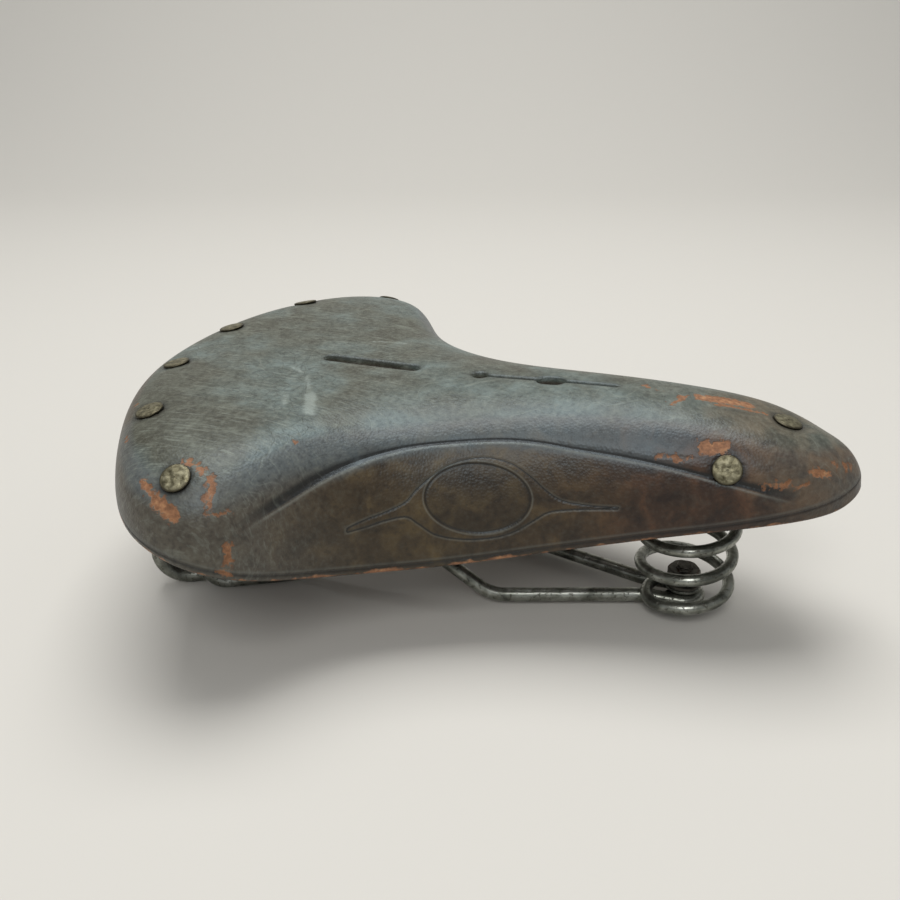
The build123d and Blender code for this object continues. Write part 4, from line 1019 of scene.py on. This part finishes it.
for half_name, part, bodies, span in (
    ("lower", slice(0, middle + 1), ("frame", "rear_ends"), (0.010, 0.027)),
    ("upper", slice(middle, None), ("rear_ends", "saddle_top"), (0.027, 0.046)),
):
    body = tube(coil_path[part], half_width[part], half_height[part], up=(0.0, 0.0, 1.0))
    coil = add_wire(f"nose_coil_{half_name}", body, "front_coil")
    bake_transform(coil)
print("coil turns:", COIL_TURNS, " points:", len(coil_path))

# %% [markdown]
# ## Plates, bolts and nuts
# These CAD pieces keep their own exact meshes and only need a finish. The plates and the bracket are
# pressed steel dipped in black japan, a baked varnish, which is chipped to rust. The bolts and nuts are
# plain steel that has dulled, with a thread of 1 mm pitch on the shanks.

# %% Black japanned steel
japan, tree, shader = new_material("black_japanned_steel", IOR=1.5)
place = node(tree, "TexCoord", out="Object")
wear, fine = [
    node(tree, "TexNoise", {"Vector": place, "Scale": 1 / (size * MM), "Detail": 6.0}) for size in (9.0, 1.5)]
chipped = node(tree, "MapRange", [wear, 0.58, 0.66], **MASK)
coat = node(tree, "ValToRGB", [fine], stops=[(0.35, "#171513"), (0.65, "#262320")])
bare = node(tree, "ValToRGB", [fine], stops=[(0.35, "#4a2f1f"), (0.65, "#70523a")])
colour = node(tree, "Mix", {0: chipped, 6: coat, 7: bare}, **COVER)
roughness = node(tree, "Math", [fine, 0.15, 0.3], **PLUS)
roughness = node(tree, "Math", [chipped, 0.35, roughness], **PLUS)
height = node(tree, "Math", [fine, 0.05], **TIMES)
height = node(tree, "Math", [chipped, -0.06, height], **PLUS)
connect(tree, shader, colour, roughness, height)
print("japanned steel:", len(tree.nodes), "nodes")

# %% Dull steel, plain and threaded
THREAD_PITCH = 1.0


def dull_steel(name, axis=None, through=(0.0, 0.0, 0.0)):
    """Dulled steel. With an axis, 0 for X or 2 for Z, whatever lies within 3.1 mm of the line through the
    given point has a thread: the height follows sin(2 pi distance / pitch)."""
    material, tree, shader = new_material(name, Metallic=0.85)
    place = node(tree, "TexCoord", out="Object")
    wear = node(tree, "TexNoise", {"Vector": place, "Scale": 1 / (3.5 * MM), "Detail": 7.0})
    rust = node(tree, "MapRange", [wear, 0.54, 0.66], **MASK)
    rusty = node(tree, "Math", [rust, 0.8], **TIMES)
    colour = node(tree, "ValToRGB", [wear], stops=[(0.35, "#3e3b36"), (0.6, "#76736b")])
    colour = node(tree, "Mix", {0: rusty, 6: colour, 7: "#553b28"}, **COVER)
    roughness = node(tree, "Math", [rust, 0.3, 0.42], **PLUS)
    height = node(tree, "Math", [wear, 0.15], **TIMES)
    if axis is not None:
        offset = node(tree, "VectorMath", [place, [-c * MM for c in through]])
        parts = [node(tree, "SeparateXYZ", [offset], letter) for letter in "XYZ"]
        across = [parts[k] for k in range(3) if k != axis]
        squares = node(tree, "Math", [across[0], across[0]], **TIMES)
        squares = node(tree, "Math", [across[1], across[1], squares], **PLUS)
        shank = node(tree, "MapRange", [squares, (3.2 * MM) ** 2, (3.05 * MM) ** 2], **MASK)
        phase = node(tree, "Math", [parts[axis], 2 * np.pi / THREAD_PITCH / MM], **TIMES)
        wave = node(tree, "Math", [phase], operation="SINE")
        thread = node(tree, "Math", [wave, shank], **TIMES)
        height = node(tree, "Math", [thread, 0.25, height], **PLUS)
    connect(tree, shader, colour, roughness, height)
    return material


steel = dull_steel("dull_steel")
upright_thread = dull_steel("dull_steel_threaded_upright", 2, (BOLT_X, 0.0, 0.0))
level_thread = dull_steel("dull_steel_threaded_level", 0, (0.0, 0.0, SEAT_HEIGHT - 20.0))
FINISHES = (
    (upright_thread, "fastener", "front_clamp_bolt coil_top_bolt"),
    (level_thread, "fastener", "tension_bolt"),
    (steel, "fastener", "front_clamp_washer front_clamp_nut coil_top_washer coil_top_nut tension_nut"),
    (steel, "fastener", "wire_clamp_bolts wire_clamp_left wire_clamp_right"),
    (japan, "plate", "cantle_plate nose_plate nose_bracket"),
    (brass, "rivet", "rear_rivet_burrs nose_rivet_burrs"),
)
for material, slot_name, names in FINISHES:
    for name in names.split():
        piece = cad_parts[name]
        piece.data.materials.clear()
        piece.data.materials.append(material)
    print(material.name, "on", names)

# %% [markdown]
# ## Floor, light and camera
# The saddle stands on a pale matt floor that curves up into a backdrop, so that no horizon shows behind it.
# It is one sheet: a straight run, a quarter circle and a rise, carried sideways. The light is that of a
# dull day: a pale world and two large soft lamps, weak enough for each colour to render as it is written.

# %% Floor
floor_material, tree, shader = new_material("pale_matt_floor", Base_Color="#c9c6bf", Roughness=0.9)
FLOOR_FRONT, FLOOR_BACK, BEND_RADIUS, FLOOR_TOP, ACROSS_COUNT = -1500, 700, 600, 1800, 12
bend = np.linspace(0, np.pi / 2, 24)[1:]
level, wall = np.linspace(FLOOR_FRONT, FLOOR_BACK, 20), np.linspace(BEND_RADIUS, FLOOR_TOP, 10)[1:]
curve = FLOOR_BACK + BEND_RADIUS * np.sin(bend)
profile_y = np.concatenate([level, curve, 0 * wall + FLOOR_BACK + BEND_RADIUS])
profile_z = np.concatenate([0 * level, BEND_RADIUS * (1 - np.cos(bend)), wall])
across = np.linspace(-2500, 2500, ACROSS_COUNT)
grid_x, grid_y = np.meshgrid(across, profile_y)
floor_points = np.stack([grid_x, grid_y, np.repeat(profile_z[:, None], ACROSS_COUNT, 1)], -1).reshape(-1, 3)
turn = np.radians(16.88)
spin = np.array([[np.cos(turn), np.sin(turn), 0], [-np.sin(turn), np.cos(turn), 0], [0, 0, 1]])
floor_ids = np.arange(len(floor_points)).reshape(-1, ACROSS_COUNT)
floor = new_piece("floor", floor_points @ spin, grid_quads(floor_ids), floor_material)
floor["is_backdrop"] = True
print("floor faces:", len(floor.data.polygons))

# %% Light
world = bpy.data.worlds.new("studio")
bpy.context.scene.world = world
world.use_nodes = True
world.node_tree.nodes["Background"].inputs["Color"].default_value = linear("#f4f6f8")
world.node_tree.nodes["Background"].inputs["Strength"].default_value = 0.4


def add_lamp(name, place_mm, aim_mm, size_mm, power):
    """A square soft lamp at a place, turned towards an aim."""
    data = bpy.data.lights.new(name, "AREA")
    data.shape = "SQUARE"
    data.size = size_mm * MM
    data.energy = power
    lamp = bpy.data.objects.new(name, data)
    bpy.context.scene.collection.objects.link(lamp)
    lamp.location = np.array(place_mm, float) * MM
    direction = Vector(np.array(aim_mm, float) - np.array(place_mm, float))
    lamp.rotation_euler = direction.to_track_quat("-Z", "Y").to_euler()


add_lamp("overhead", (-100, 250, 1200), (0, 0, 0), 900, 14)
add_lamp("front", (150, -900, 1000), (0, 0, 40), 500, 5)
print("lamps:", len(bpy.data.lights))

# %% Camera
CAMERA_PLACE, CAMERA_AHEAD, PITCH = np.array((80.5, -307.4, 204.4)), (-0.2904, 0.9569), np.radians(25.85)
camera_data = bpy.data.cameras.new("camera")
camera_data.lens = 39.19
camera_data.sensor_width = 36.0
camera = bpy.data.objects.new("camera", camera_data)
bpy.context.scene.collection.objects.link(camera)
camera.location = CAMERA_PLACE * MM
look = Vector((*(ahead * np.cos(PITCH) for ahead in CAMERA_AHEAD), -np.sin(PITCH)))
camera.rotation_euler = look.to_track_quat("-Z", "Y").to_euler()
bpy.context.scene.camera = camera
bpy.context.scene.view_settings.view_transform = "Standard"
print("camera from the saddle's middle in mm:", round(float(np.linalg.norm(CAMERA_PLACE))))

# %% Finish
low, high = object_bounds()
